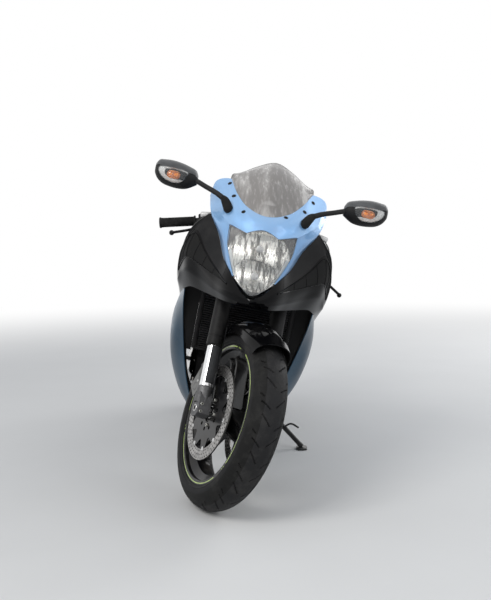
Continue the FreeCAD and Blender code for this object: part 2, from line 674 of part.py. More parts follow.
# Engine: crankcase, gearbox and cylinders as one plain block with its two side covers.
engine = new("PartDesign::Body", "engine_block")
pad(engine, outline(engine, "crankcase", "YZ_Plane", [
    ("-250", "290"), ("-235", "235"), ("20", "235"), ("20", "480"), ("-190", "480"), ("-250", "400")]),
    "crankcase_pad", "2 * engine_half")
pad(engine, outline(engine, "gearbox", "YZ_Plane", [
    ("-60", "300"), ("126", "300"), ("126", "492"), ("-60", "492")]), "gearbox_pad", "2 * gearbox_half")
pad(engine, outline(engine, "cylinders", "YZ_Plane", [
    ("-190", "470"), ("-60", "478"), ("-130", "690"), ("-190", "710"), ("-300", "660")]),
    "cylinders_pad", "2 * engine_half")
clutch = rod("clutch_cover", "clutch_radius", ("-engine_half - clutch_depth", "-60", "360"), "clutch_depth + 1")
alternator = rod("alternator_cover", "alternator_radius", ("engine_half - 1", "-165", "350"),
                 "alternator_depth + 1")
nodes["engine"] = fuse("engine", engine, clutch, alternator)
nodes["front_sprocket"] = rod("front_sprocket", "front_sprocket_radius - chain_half",
                              ("gearbox_half", "output_y", "output_z"),
                              "chain_line + chain_width / 2 - gearbox_half")


def chain_loop(grow):
    """Corners of the loop round both sprockets, grown from the pitch line."""
    small, large = f"(front_sprocket_radius + {grow})", f"(rear_sprocket_radius + {grow})"
    return [
        (f"output_y + {small} * cos(chain_top)", f"output_z + {small} * sin(chain_top)"),
        (f"rear_y + {large} * cos(chain_top)", f"rear_z + {large} * sin(chain_top)", "rear_y", "rear_z", "far"),
        (f"rear_y + {large} * cos(chain_low)", f"rear_z + {large} * sin(chain_low)"),
        (f"output_y + {small} * cos(chain_low)", f"output_z + {small} * sin(chain_low)", "output_y", "output_z"),
    ]


chain_start = "chain_line - chain_width / 2"
chain_outer = prism("chain_outer", "YZ_Plane", chain_loop("chain_half"), "chain_width", chain_start, False)
chain_inner = prism("chain_inner", "YZ_Plane", chain_loop("(-chain_half)"), "chain_width + 2", chain_start + " - 1",
                    False)
nodes["chain"] = cut("chain", chain_outer, chain_inner)

# Swingarm.
arm = prism("swing_arm", "YZ_Plane", [
    ("pivot_y + 56", "pivot_z + 15"),
    ("pivot_y + 170", "pivot_z + 15"),
    ("rear_y", "rear_z + arm_tail"),
    ("rear_y + 42", "rear_z + arm_tail - 4"),
    ("rear_y + 42", "rear_z - arm_tail + 4"),
    ("rear_y", "rear_z - arm_tail"),
    ("pivot_y + 170", "pivot_z - 60"),
    ("pivot_y + 56", "pivot_z - 52"),
], "arm_width", "arm_inner", symmetric=False)
arm_cross = prism("swing_cross", "YZ_Plane", [
    ("pivot_y + 56", "pivot_z + 15"), ("pivot_y + 170", "pivot_z + 15"),
    ("pivot_y + 170", "pivot_z - 60"), ("pivot_y + 56", "pivot_z - 52")], "2 * arm_inner + 2")
arm_nose = prism("swing_nose", "YZ_Plane", [
    ("pivot_y", "pivot_z + 15"), ("pivot_y + 60", "pivot_z + 15"),
    ("pivot_y + 60", "pivot_z - 52"), ("pivot_y", "pivot_z - 15")], "2 * plate_inner - 8")
arm_tube = rod("swing_tube", "pivot_tube_radius", ("-plate_inner", "pivot_y", "pivot_z"), "2 * plate_inner")
arm_solid = fuse("swingarm_solid", arm, mirrored("right_swing_arm", arm), arm_cross, arm_nose, arm_tube)
arm_hole = rod("swing_axle_hole", "axle_radius", ("-200", "rear_y", "rear_z"), "400")
nodes["swingarm"] = cut("swingarm", arm_solid, arm_hole)
reach = "arm_inner + arm_width"
rear_spindle = rod("rear_spindle", "axle_radius", (f"-({reach})", "rear_y", "rear_z"), f"2 * ({reach})")
rear_parts = [
    rod("rear_nut", "axle_radius + 6", (reach, "rear_y", "rear_z"), "14"),
    rod("rear_head", "axle_radius + 6", (f"-({reach}) - 12", "rear_y", "rear_z"), "12"),
    rod("rear_collar_left", "axle_radius + 8", ("rear_hub_half + 0.5", "rear_y", "rear_z"),
        "arm_inner - rear_hub_half - 0.5"),
    rod("rear_collar_right", "axle_radius + 8", ("-arm_inner", "rear_y", "rear_z"),
        "arm_inner - rear_hub_half - 0.5"),
]
nodes["rear_axle"] = fuse("rear_axle", rear_spindle, *rear_parts)
rear_caliper = prism("rear_caliper_block", "YZ_Plane", [
    ("rear_y - 88", "rear_z + 24"), ("rear_y - 132", "rear_z + 34"),
    ("rear_y - 118", "rear_z + 84"), ("rear_y - 74", "rear_z + 70")], "33", "-arm_inner", symmetric=False)
rear_slot = rod("rear_slot", "rear_disc_radius + 6", ("-rear_hub_half - disc_thickness - 5", "rear_y", "rear_z"),
                "disc_thickness + 10")
nodes["rear_caliper"] = cut("rear_caliper", rear_caliper, rear_slot)
nodes["rear_shock"] = rod("rear_shock", "26", ("0", "232", "pivot_z + 15"), "150", "z")
radiator_stays = []
for side, x in (("left", 90), ("right", -90)):
    radiator_stays.append(slanted(f"radiator_stay_{side}", "8", (x, -362, 730), (x, -393, 672)))
shock_top = box("shock_top", ("-60", "190", "565"), ("60", "260", "600"))

# Radiator and exhaust.
core = new("Part::Box", "radiator")
core.setExpression("Length", bound("radiator_width"))
core.setExpression("Width", bound("radiator_depth"))
core.setExpression("Height", bound("radiator_height"))
core_turn = Rotation(Vector(1, 0, 0), number("radiator_tilt"))
core_corner = Vector(number("radiator_width"), number("radiator_depth"), number("radiator_height")) / -2
core.Placement = Placement(Vector(0, -365, 560) + core_turn.multVec(core_corner), core_turn)
nodes["radiator"] = core
pipes = []
for index, (top_x, low_x) in enumerate(((113, 62), (38, 21), (-38, -21), (-113, -62))):
    pipes.append(swept(f"header_{index}", "pipe_radius", [
        (top_x, -238.7, 594), (top_x, -276, 572.4), (top_x, -286, 530), (0.4 * top_x + 0.6 * low_x, -286, 330),
        (low_x, -262, 208), (low_x, -225, 188), (low_x, -90, 188)]))
collector = block("collector", [[(x, y, z1), (-x, y, z1), (-x, y, z2), (x, y, z2)]
                                for y, x, z1, z2 in ((-98, 84, 208, 166), (-20, 60, 210, 164), (60, 45, 214, 166))])
link = swept("link_pipe", "21", [(0, 30, 190), (0, 76, 190), (-110, 120, 225), (-150, 150, 240)])
nodes["exhaust_headers"] = cut("exhaust_headers", fuse("exhaust_solid", *pipes, collector, link), nodes["engine"])
MUFFLER = [(-110, -195), (-205, -195), (-218, -240), (-200, -300), (-120, -300), (-104, -240)]
stations = []
for y, grow, lift in ((150, 0.62, 0), (180, 1, 0), (390, 1, 40), (420, 0.8, 48)):
    stations.append([(-160 + (x + 160) * grow, y, -z - 0 + lift * 0.5 if grow == 1 else 247 + (-z - 247) * grow
                      + lift * 0.5) for x, z in MUFFLER])
muffler_solid = block("muffler_solid", stations)
nodes["muffler"] = cut("muffler", muffler_solid, nodes["exhaust_headers"])

# Tank, seats and tail.
TANK = [
    # y, bottom z, middle z, top z, bottom half, middle half, top half
    (-334, 800, 890, 930, 60, 110, 45),
    (-250, 790, 880, 985, 160, 180, 85),
    (-120, 790, 862, 992, 185, 202, 105),
    (0, 790, 842, 950, 182, 188, 90),
    (70, 790, 822, 872, 100, 112, 55),
]
tank = block("fuel_tank", [across([(a, y, z1), (b, y, z2), (c, y, z3)])
                           for y, z1, z2, z3, a, b, c in TANK])
nodes["fuel_tank"] = tank
TAIL = [
    # y, low x, low z, shoulder x, shoulder z, top x, top z
    (110, 100, 690, 128, 735, 60, 744),
    (250, 112, 706, 140, 752, 90, 752),
    (300, 111, 716, 142, 768, 94, 766),
    (345, 109, 730, 142, 800, 97, 826),
    (520, 90, 785, 126, 866, 80, 900),
    (680, 70, 832, 101, 902, 60, 934),
    (820, 40, 880, 62, 922, 34, 946),
]
tail = skin("tail_cowl", [across([(a, y, z1), (b, y, z2), (c, y, z3)]) for y, a, z1, b, z2, c, z3 in TAIL],
            "cowl_wall", (0, 400, 700))
nodes["tail_cowl"] = tail
SEAT = [(60, 743, 806, 70), (150, 745, 798, 112), (250, 751, 812, 136), (300, 766, 832, 134), (332, 810, 850, 125)]
seat = block("rider_seat_solid", [across([(h * 0.84, y, z1), (h * 1.02, y, (z1 + z2) / 2 + 6), (h * 0.75, y, z2)])
                                  for y, z1, z2, h in SEAT])
nodes["rider_seat"] = cut("rider_seat", seat, tail, tank)
PERCH = [(348, 827, 868, 112), (430, 862, 908, 116), (540, 904, 944, 98), (640, 925, 955, 72)]
perch = block("passenger_seat_solid", [across([(h * 0.8, y, z1), (h, y, (z1 + z2) / 2), (h * 0.7, y, z2)])
                                       for y, z1, z2, h in PERCH])
nodes["passenger_seat"] = cut("passenger_seat", perch, tail)
lamp = block("tail_lamp_solid", [across([(a, y, z1), (b, y, z2), (c, y, z3)]) for y, a, z1, b, z2, c, z3 in (
    (800, 40, 876, 60, 918, 33, 938), (838, 34, 884, 50, 918, 28, 934))])
nodes["tail_lamp"] = cut("tail_lamp", lamp, tail)
rail = swept("tail_rail", "11", [(158, 120, 620), (112, 250, 700), (88, 420, 742), (52, 700, 838), (40, 790, 872)])
bridges = [box("tail_bridge_front", ("-120", "238", "686"), ("120", "300", "712")),
           box("tail_bridge_rear", ("-92", "600", "800"), ("92", "640", "826")),
           box("seat_rest", ("-60", "238", "690"), ("60", "262", "750")),
           box("tail_end", ("-40", "760", "850"), ("40", "794", "885"))]
rails = fuse("tail_frame_solid", rail, mirrored("right_tail_rail", rail), *bridges)
subframe = cut("subframe_trimmed", rails, tail)
HOLDER = [(660, 60, 812, 800), (760, 62, 812, 796), (830, 62, 790, 778), (930, 60, 690, 676), (1010, 72, 580, 572),
          (1030, 80, 500, 496)]
holder = block("plate_holder", [across([(x, y, z1), (x, y - 3, z2)]) for y, x, z1, z2 in HOLDER])
nodes["rear_mudguard"] = cut("rear_mudguard", holder, rails)
stalk = rod("indicator_stalk", "6", ("40", "862", "748"), "62")
bulb = block("indicator_pod", [[(x, 862 - r, 748 - r), (x, 862 + r, 748 - r), (x, 862 + r, 748 + r),
                                (x, 862 - r, 748 + r)] for x, r in ((96, 10), (110, 18), (150, 16), (160, 8))])
nodes["rear_indicators"] = cut("rear_indicators", sided("both_rear_indicators", fuse("indicator", stalk, bulb)),
                               holder)

# Fairing, left side first; ribs run from the top edge down.
NOSE_LEFT = [
    [(66, -765, 752), (70, -760, 752), (73, -752, 752)],
    [(81, -742, 784), (97, -722, 790), (108, -690, 800)],
    [(104, -712, 842), (124, -690, 852), (140, -640, 868)],
    [(112, -690, 908), (146, -650, 918), (178, -600, 926)],
]
lens_ribs = [
    [(0, -722, 908), (0, -748, 850), (0, -768, 800), (0, -784, 750), (0, -789, 705)],
    [(26, -720, 902), (28, -746, 850), (28, -766, 800), (24, -782, 750), (18, -786, 712)],
    [(51, -719, 890), (54, -738, 850), (54, -757, 800), (46, -775, 755), (34, -780, 724)],
    [(82, -705, 900), (84, -722, 850), (80, -742, 805), (66, -762, 765), (50, -772, 737)],
    [(111, -690, 908), (104, -710, 845), (92, -728, 805), (80, -744, 782), (63, -765, 750)],
]
lens_all = [[(-x, y, z) for x, y, z in rib] for rib in reversed(lens_ribs[1:])] + lens_ribs
lens = skin("headlamp_lens", lens_all, "screen_wall", (0, 0, 800))
nodes["headlamp_lens"] = lens
LAMP_EDGE = [(42, -722, 889), (82, -710, 886), (103, -700, 880), (100, -715, 845), (90, -730, 805), (78, -745, 782),
             (61, -766, 752), (49, -773, 740), (33, -781, 727), (14, -787, 713)]
LAMP_LOOP = across(LAMP_EDGE)


def bucket(name, scale, front, back):
    """The lamp's outline shrunk about its middle and drawn back to a smaller end."""
    rings = []
    for share, y0, depth in ((scale, front, 0), (scale * 0.92, front, 0.5), (scale * 0.6, front, 1)):
        rings.append([(x * share, y + y0 + (back - y - y0) * depth, 810 + (z - 810) * share)
                      for x, y, z in LAMP_LOOP])
    return block(name, rings)


bowl_raw = cut("headlamp_bowl_solid", bucket("bowl_outer", 0.99, 3.1, -640), bucket("bowl_inner", 0.955, 0, -644))
SCREEN = [
    [(0, -680, 952), (0, -632, 1012), (0, -565, 1072), (0, -490, 1115), (0, -425, 1138)],
    [(68, -640, 972), (71, -592, 1022), (72, -534, 1068), (68, -478, 1098), (60, -430, 1115)],
    [(110, -580, 1010), (113, -547, 1038), (112, -510, 1064), (107, -474, 1083), (98, -440, 1091)],
    [(140, -500, 1054), (140, -488, 1063), (138, -475, 1070), (133, -462, 1074), (125, -450, 1076)],
]
screen_all = [[(-x, y, z) for x, y, z in rib] for rib in reversed(SCREEN[1:])] + SCREEN
screen = skin("windscreen", screen_all, "screen_wall", (0, -300, 950))
nodes["windscreen"] = screen
# The nose, from the middle over the lamp and down its side: lamp or screen edge, then outwards.
NOSE = [
    [(0, -722, 908.5), (0, -712, 925), (0, -700, 938), (0, -680, 951.6)],
    [(26, -720, 902.5), (34, -706, 928), (50, -685, 945), (68, -640, 971.6)],
    [(51, -719, 890.5), (66, -690, 930), (90, -640, 965), (110, -580, 1009.6)],
    [(80, -706, 899), (102, -662, 943), (122, -600, 985), (140, -500, 1053.6)],
    [(98, -698, 905), (126, -640, 942), (158, -560, 985), (190, -475, 1036)],
    [(111, -691, 907), (142, -642, 928), (174, -575, 955), (199, -500, 985)],
    [(109, -698, 880), (132, -672, 893), (157, -636, 908), (178, -598, 926.5)],
    [(105, -711, 842), (117, -694, 850), (129, -670, 859), (140, -640, 868)],
    [(81, -744, 784), (91, -731, 790), (100, -714, 796), (108, -690, 800)],
    [(66, -765, 753), (69, -762, 753), (71.5, -758, 752.5), (73, -753, 752)],
]
nose_all = [[(-x, y, z) for x, y, z in rib] for rib in reversed(NOSE[1:])] + NOSE
nose_raw = skin("nose_cowl_solid", nose_all, "cowl_wall", (0, -300, 850))
nodes["nose_cowl"] = cut("nose_cowl", nose_raw, lens, screen)
nodes["headlamp_bowl"] = cut("headlamp_bowl", bowl_raw, lens, nose_raw)
SIDE = [
    [(0.2, -792, 690), (0.2, -790, 684), (0.2, -785, 678), (0.2, -778, 672), (0.2, -765, 668)],
    [(34, -784, 712), (40, -784, 700), (40, -780, 688), (38, -774, 678), (34, -762, 668)],
    [(66, -766, 750), (70, -768, 722), (70, -766, 702), (67, -760, 684), (60, -750, 668)],
    [(108, -690, 799), (121, -690, 762), (126, -685, 725), (121, -680, 695), (108, -668, 668)],
    [(140, -640, 867), (172, -625, 812), (186, -612, 762), (176, -598, 712), (157, -582, 670)],
    [(177, -600, 926), (214, -588, 866), (232, -572, 795), (226, -550, 728), (203, -515, 672)],
    [(230, -578, 874), (244, -552, 830), (250, -525, 775), (246, -490, 715), (228, -440, 655)],
    [(256, -515, 798), (262, -490, 765), (264, -455, 725), (260, -410, 680), (243, -345, 632)],
    [(262, -420, 758), (266, -395, 735), (268, -360, 700), (265, -315, 662), (252, -260, 612)],
    [(263, -310, 706), (265, -290, 692), (266, -262, 672), (263, -225, 645), (256, -180, 603)],
    [(240, -150, 686), (243, -145, 672), (246, -135, 658), (245, -120, 642), (240, -95, 620)],
]
side_raw = skin("side_cowl_solid", SIDE, "cowl_wall", (0, -300, 700))
LOWER = [
    [(228, -440, 654.7), (224, -395, 590), (206, -350, 480), (172, -330, 340), (120, -315, 220), (55, -305, 160),
     (0.2, -303, 146)],
    [(243, -345, 631.7), (252, -310, 570), (245, -290, 470), (215, -265, 350), (155, -262, 230), (70, -255, 152),
     (0.2, -255, 134)],
    [(252, -260, 611.7), (264, -240, 540), (258, -225, 440), (228, -210, 330), (165, -200, 220), (75, -195, 150),
     (0.2, -195, 130)],
    [(256, -180, 602.7), (262, -165, 530), (256, -150, 440), (230, -130, 330), (170, -125, 220), (80, -115, 150),
     (0.2, -115, 130)],
    [(240, -95, 619.7), (240, -10, 520), (215, 50, 420), (200, 40, 330), (160, 15, 235), (80, 0, 158),
     (0.2, 0, 136)],
]
lower_raw = skin("lower_cowl_solid", LOWER, "cowl_wall", (0, -200, 500))
right_of_seam = box("right_of_seam", ("-300", "-900", "0"), ("0.1", "200", "900"))
left_of_seam = box("left_of_seam", ("-0.1", "-900", "0"), ("300", "200", "900"))
side_raw_right = mirrored("side_cowl_solid_right", side_raw)
lower_raw_right = mirrored("lower_cowl_solid_right", lower_raw)
nodes["side_cowl_left"] = cut("side_cowl_left", side_raw, nose_raw, lens, right_of_seam)
nodes["side_cowl_right"] = cut("side_cowl_right", side_raw_right, nose_raw, lens, left_of_seam)
nodes["lower_cowl_left"] = cut("lower_cowl_left", lower_raw, side_raw, right_of_seam)
nodes["lower_cowl_right"] = cut("lower_cowl_right", lower_raw_right, side_raw_right, left_of_seam)

# Stay for the nose, instruments and mirrors.
stay_solid = fuse(
    "cowl_stay_solid",
    block("stay_beam", [[(x, y, z1), (-x, y, z1), (-x, y, z2), (x, y, z2)] for y, x, z1, z2 in (
        (-470, 22, 835, 795), (-640, 28, 880, 845), (-655, 30, 900, 860))]),
    block("stay_post", [[(x, y, z1), (-x, y, z1), (-x, y, z2), (x, y, z2)] for y, x, z1, z2 in (
        (-655, 40, 925, 860), (-625, 40, 948, 870), (-600, 36, 952, 880))]),
    strut("stay_left", "7", ("0", "-620", "925"), ("138", "-606", "943")),
    strut("stay_right", "7", ("0", "-620", "925"), ("-138", "-606", "943")),
    box("stay_lamp", ("-20", "-690", "862"), ("20", "-640", "890")),
)
gauges = block("instrument_panel_solid", [across([(62, y, z1), (70, y, (z1 + z2) / 2), (58, y, z2)])
                                          for y, z1, z2 in ((-600, 946, 992), (-566, 940, 986))])
nodes["instrument_panel"] = gauges
head_solid = fuse("head_solid", head, head_bore)
nodes["cowl_stay"] = cut("cowl_stay", stay_solid, nose_raw, bowl_raw, gauges, head_solid)
mirror_stem = swept("mirror_stem", "8", [(131, -628, 953), (152, -616, 978), (245, -575, 1020), (268, -568, 1024)])
mirror_case = block("mirror_case", [[(x, y1, z1), (x, y2, z1), (x, y2, z2), (x, y1, z2)] for x, y1, y2, z1, z2 in (
    (246, -585, -550, 1000, 1040), (280, -598, -545, 986, 1062), (334, -598, -540, 992, 1078),
    (376, -585, -538, 1008, 1070), (390, -565, -540, 1024, 1054))])
mirror = fuse("left_mirror_solid", mirror_stem, mirror_case)
both_mirrors = sided("both_mirrors", mirror)
indicator = block("front_indicator_solid", [[(x, y1, z1), (x, -590, z1), (x, -590, z2), (x, y1, z2)]
                                            for x, y1, z1, z2 in ((292, -606, 1012, 1036), (340, -612, 1008, 1050),
                                                                  (374, -600, 1026, 1052))])
nodes["mirrors"] = cut("mirrors", both_mirrors, nose_raw, stay_solid)
nodes["mirror_indicators"] = cut("mirror_indicators", sided("both_front_indicators", indicator), both_mirrors)

# Rounded black trims behind the upper edges of the side cowls, and the bracket above each.
trim = block("cockpit_trim", [[(x - 4, y - 17, z - 14), (x - 1, y - 18, z + 4), (x - 6, y - 16, z + 14),
                               (x - 14, y - 4, z + 14), (x - 20, y, z), (x - 12, y - 4, z - 14)]
                              for x, y, z in ((196, -562, 902), (214, -556, 895), (228, -548, 880), (234, -536, 860))])
trim_foot = strut("trim_foot", "3", ("210.4", "-579.2", "887.9"), ("204.3", "-565.6", "890"))
trim_bracket = block("trim_bracket", [[(176, y, 910), (196, y, 910), (192, y, 934), (174, y, 934)]
                                      for y in (-566, -548)])
left_trim = cut("left_trim", fuse("left_trim_solid", trim, trim_foot, trim_bracket), side_raw)
nodes["cockpit_trims"] = sided("cockpit_trims", left_trim)

# Black panels that close the gaps between the radiator and the cowls: height, outer edge, place along.
SHROUD = [(676, 240, -397), (655, 230, -390), (590, 222, -373), (480, 197, -344), (430, 187, -331)]
shroud_edge = number("radiator_width / 2 + shroud_gap")
shroud = block("radiator_shroud", [[(shroud_edge, y - 2, z), (x, y - 2, z), (x, y + 2, z), (shroud_edge, y + 2, z)]
                                   for z, x, y in SHROUD])
nodes["radiator_shrouds"] = sided("radiator_shrouds", shroud)

# Guard over the chain's upper run, standing on the left arm.
guard_web = prism("guard_web", "YZ_Plane", [
    ("pivot_y + 180", "pivot_z + 8"), ("pivot_y + 180", "pivot_z + 50"), ("rear_y - 60", "pivot_z + 44"),
    ("rear_y - 40", "rear_z + arm_tail + 8")], "4", "arm_inner", symmetric=False)
guard_top = prism("guard_top", "YZ_Plane", [
    ("pivot_y + 180", "pivot_z + 46"), ("pivot_y + 180", "pivot_z + 50"), ("rear_y - 60", "pivot_z + 44"),
    ("rear_y - 60", "pivot_z + 40")], "arm_inner + 4 - chain_line + chain_width / 2 + 4",
    "chain_line - chain_width / 2 - 4", symmetric=False)
nodes["chain_guard"] = cut("chain_guard", fuse("chain_guard_solid", guard_web, guard_top), nodes["swingarm"])

# Foot controls.
hanger = prism("hanger_plate", "YZ_Plane", [
    ("130", "470"), ("175", "494"), ("320", "400"), ("340", "330"), ("310", "325"), ("225", "330"), ("150", "400")],
    "10", "plate_inner + plate_width", symmetric=False)
peg = rod("footpeg", "peg_radius", ("plate_inner + plate_width + 8", "235", "362"), "peg_length")
rear_peg = rod("rear_footpeg", "peg_radius - 1", ("plate_inner + plate_width + 8", "318", "372"), "peg_length - 14")
pedal_x = "plate_inner + plate_width + pedal_gap"
pedal = strut("foot_pedal", "7", (pedal_x, "222", "345"), (pedal_x + " + 8", "98", "322"))
pedal_boss = rod("pedal_boss", "11", ("plate_inner + plate_width + 8", "222", "345"), "pedal_gap")
pedal_toe = rod("pedal_toe", "8", (pedal_x, "98", "322"), "44")
nodes["footrests"] = sided("footrests", fuse("left_footrest", hanger, peg, rear_peg, pedal, pedal_boss, pedal_toe))

frame_parts = fuse("frame_and_rails", frame_solid, subframe, shock_top, *radiator_stays)
nodes["frame"] = cut("frame", frame_parts, core, head_bore, side_raw, side_raw_right, tank, seat, engine,
                     nodes["rear_shock"])

# Side stand, in bike axes: eye, leg, tang and flat foot.
down = Vector(number("stand_reach"), -number("stand_lead"), -number("stand_z") + 75)
foot_at = pin_at + down
lean = math.radians(number("lean_angle"))
floor = Vector(-math.sin(lean), 0, math.cos(lean))
eye = slanted("stand_eye", "16", pin_at - pin_axis * 30, pin_at - pin_axis * 0.1)
leg_start = pin_at - pin_axis * 18
leg_end = foot_at + floor * 12
leg_bar = slanted("stand_leg", "stand_radius", leg_start, leg_end)
foot_plate = new("Part::Box", "stand_foot")
foot_plate.Length, foot_plate.Width, foot_plate.Height = 44, 62, 7
foot_turn = Rotation(Vector(0, 1, 0), -number("lean_angle"))
foot_plate.Placement = Placement(foot_at - foot_turn.multVec(Vector(22, 31, 0)), foot_turn)
wire = swept("stand_tang", "4", [tuple(leg_start + (leg_end - leg_start) * 0.62),
                                 tuple(leg_start + (leg_end - leg_start) * 0.62 + Vector(26, -14, 22)),
                                 tuple(leg_start + (leg_end - leg_start) * 0.62 + Vector(58, -22, 14))])
pin_hole = slanted("stand_pin_hole", "stand_pin + running_fit", pin_at - pin_axis * 40, pin_at + pin_axis * 20)
nodes["side_stand"] = cut("side_stand", fuse("side_stand_solid", eye, leg_bar, foot_plate, wire), pin_hole)

BODIES = {
    "chassis": ["frame", "engine", "radiator", "exhaust_headers", "muffler", "fuel_tank", "rider_seat", "tail_cowl",
                "passenger_seat", "tail_lamp", "rear_mudguard", "rear_indicators", "nose_cowl", "headlamp_lens",
                "headlamp_bowl", "windscreen", "side_cowl_left", "side_cowl_right", "lower_cowl_left",
                "lower_cowl_right", "cowl_stay", "instrument_panel", "mirrors", "mirror_indicators", "swingarm",
                "front_sprocket", "chain", "chain_guard", "radiator_shrouds", "cockpit_trims", "footrests", "rear_axle",
                "rear_caliper", "rear_shock"],
    "steering": ["top_yoke", "bottom_yoke", "fork_tubes", "fork_lowers", "front_axle", "front_mudguard",
                 "front_calipers", "handlebars", "grips", "levers", "brake_reservoir"],
    "front_wheel": ["front_rim", "front_tyre", "front_discs"],
    "rear_wheel": ["rear_rim", "rear_tyre", "rear_disc", "rear_sprocket"],
    "stand": ["side_stand"],
}
doc.recompute()

# The bike at rest: both tyres on the ground, leaning, with the bars turned to the left stop.
lock = Rotation(Vector(0, math.sin(math.radians(number("rake_angle"))), math.cos(math.radians(number("rake_angle")))),
                number("steering_lock"))
head_at = Vector(0, number("head_y"), number("head_z"))
STEERED = Placement(head_at, lock).multiply(Placement(-head_at, Rotation()))
front_at = STEERED.multVec(Vector(0, number("front_y"), number("front_z")))
rear_at = Vector(0, number("rear_y"), number("rear_z"))


def tyre_low(turn, centre, axle, end):
    """Height of a leaning tyre's lowest point."""
    radius, crown = number(f"{end}_tyre_radius"), number(f"{end}_crown_radius")
    spin = turn.multVec(axle)
    return turn.multVec(centre).z - (radius - crown) * math.sqrt(1 - spin.z ** 2) - crown


lean_turn = Rotation(Vector(0, 1, 0), -number("lean_angle"))
lean_turn = Rotation(Vector(0, 1, 0), number("lean_angle"))
low, high = -3.0, 3.0
for _ in range(50):
    pitch = (low + high) / 2
    turn = Rotation(Vector(1, 0, 0), pitch).multiply(lean_turn)
    gap = tyre_low(turn, front_at, lock.multVec(Vector(1, 0, 0)), "front") - tyre_low(
        turn, rear_at, Vector(1, 0, 0), "rear")
    low, high = (pitch, high) if gap > 0 else (low, pitch)
lift = -tyre_low(turn, rear_at, Vector(1, 0, 0), "rear")
REST = Placement(Vector(0, 0, lift), turn)
places = {
    "chassis": Placement(),
    "stand": Placement(),
    "rear_wheel": Placement(rear_at, Rotation()),
    "steering": STEERED.multiply(FORK),
    "front_wheel": STEERED.multiply(Placement(Vector(0, number("front_y"), number("front_z")), Rotation())),
}


def place_all(rest):
    for body, names in BODIES.items():
        for name in names:
            base = doc.getObject(name + "_at_rest") or new("Part::Compound", name + "_at_rest")
            base.Links = [nodes[name]]
            base.Placement = rest.multiply(places[body])
            nodes[name].Label = name + "_drawn"
            base.Label = name


place_all(REST)
doc.recompute()
boxes = [doc.getObject(name + "_at_rest").Shape.optimalBoundingBox(False)
         for names in BODIES.values() for name in names]
middle_x = (min(b.XMin for b in boxes) + max(b.XMax for b in boxes)) / 2
middle_y = (min(b.YMin for b in boxes) + max(b.YMax for b in boxes)) / 2
floor_z = min(b.ZMin for b in boxes)
place_all(Placement(Vector(-middle_x, -middle_y, -floor_z), Rotation()).multiply(REST))
doc.recompute()
print("pitch", pitch, "lift", lift, "shift", -middle_x, -middle_y, -floor_z)
print("size", max(b.XMax for b in boxes) - min(b.XMin for b in boxes),
      max(b.YMax for b in boxes) - min(b.YMin for b in boxes), max(b.ZMax for b in boxes) - floor_z)

faults = [item.Label for item in doc.Objects if "Invalid" in item.State or "Error" in item.State]
assert not faults, faults
os.makedirs("parts", exist_ok=True)
for names in BODIES.values():
    for name in names:
        shape = doc.getObject(name + "_at_rest").Shape
        assert not shape.isNull() and shape.isValid(), name
        shape.exportStep(f"parts/{name}.step")
print(len(sum(BODIES.values(), [])), "pieces")
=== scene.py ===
# %% [markdown]
# # Dressing a sport bike
# The engineering model gives every part its true place and size.
# This lesson loads it as a fixed frame and dresses it: smooth fairing panels, a fluted headlamp,
# perforated discs, grooved tyres, and finishes that show paint, rubber, cast metal and clear plastic.
# Every piece rides on one of the model's bodies, so it follows the steering, the wheels and the stand.

# %% Load the frame
import json
import math

import bpy
import bmesh
import numpy as np
from mathutils import Matrix, Vector


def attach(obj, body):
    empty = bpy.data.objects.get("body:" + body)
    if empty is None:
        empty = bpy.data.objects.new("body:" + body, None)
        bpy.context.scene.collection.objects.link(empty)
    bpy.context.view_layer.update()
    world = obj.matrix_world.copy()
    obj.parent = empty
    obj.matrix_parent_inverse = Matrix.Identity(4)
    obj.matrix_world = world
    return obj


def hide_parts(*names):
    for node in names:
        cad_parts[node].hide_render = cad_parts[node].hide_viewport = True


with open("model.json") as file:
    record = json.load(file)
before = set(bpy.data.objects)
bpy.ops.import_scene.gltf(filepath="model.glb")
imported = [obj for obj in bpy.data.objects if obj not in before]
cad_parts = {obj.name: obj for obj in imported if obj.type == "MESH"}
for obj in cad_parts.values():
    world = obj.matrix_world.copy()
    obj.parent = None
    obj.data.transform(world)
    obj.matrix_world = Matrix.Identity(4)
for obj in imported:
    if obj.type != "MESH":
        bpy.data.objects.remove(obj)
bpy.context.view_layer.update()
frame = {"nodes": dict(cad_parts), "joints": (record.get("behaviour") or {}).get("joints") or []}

# %% [markdown]
# ## Four sets of axes
# The bike leans on its stand and its bars are turned, so few of its parts lie along the scene's axes.
# It is far easier to draw each part in its own axes, in millimetres, and to let one matrix set it in place.
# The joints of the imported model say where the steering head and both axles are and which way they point,
# so the four matrices are worked out from them and no number is copied.

# %% Axes of the bike, the fork and both wheels
RAKE = math.radians(23.8)
HEAD = Vector((0, -444, 800))  # the steering head in the bike's axes: left, back, up
joint = {item["name"]: item for item in frame["joints"]}


def axes(left, up, origin):
    """A matrix from millimetres in a part's own axes to metres in the scene."""
    left, up = Vector(left).normalized(), Vector(up).normalized()
    turn = Matrix((left, up.cross(left), up)).transposed()
    return Matrix.Translation(Vector(origin)) @ turn.to_4x4() @ Matrix.Scale(0.001, 4)


steer_axis = Vector(joint["steering"]["axis"])
straight = Vector(joint["rear_wheel_spin"]["axis"])
bike_up = math.cos(RAKE) * steer_axis + math.sin(RAKE) * straight.cross(steer_axis)
BIKE = axes(straight, bike_up, joint["steering"]["pos_m"]) @ Matrix.Translation(-HEAD)
FORK = axes(joint["front_wheel_spin"]["axis"], steer_axis, joint["steering"]["pos_m"])
FRONT = axes(joint["front_wheel_spin"]["axis"], steer_axis, joint["front_wheel_spin"]["pos_m"])
REAR = axes(straight, bike_up, joint["rear_wheel_spin"]["pos_m"])
print("rear axle in the bike's axes:", [round(v, 1) for v in BIKE.inverted() @ REAR.translation])

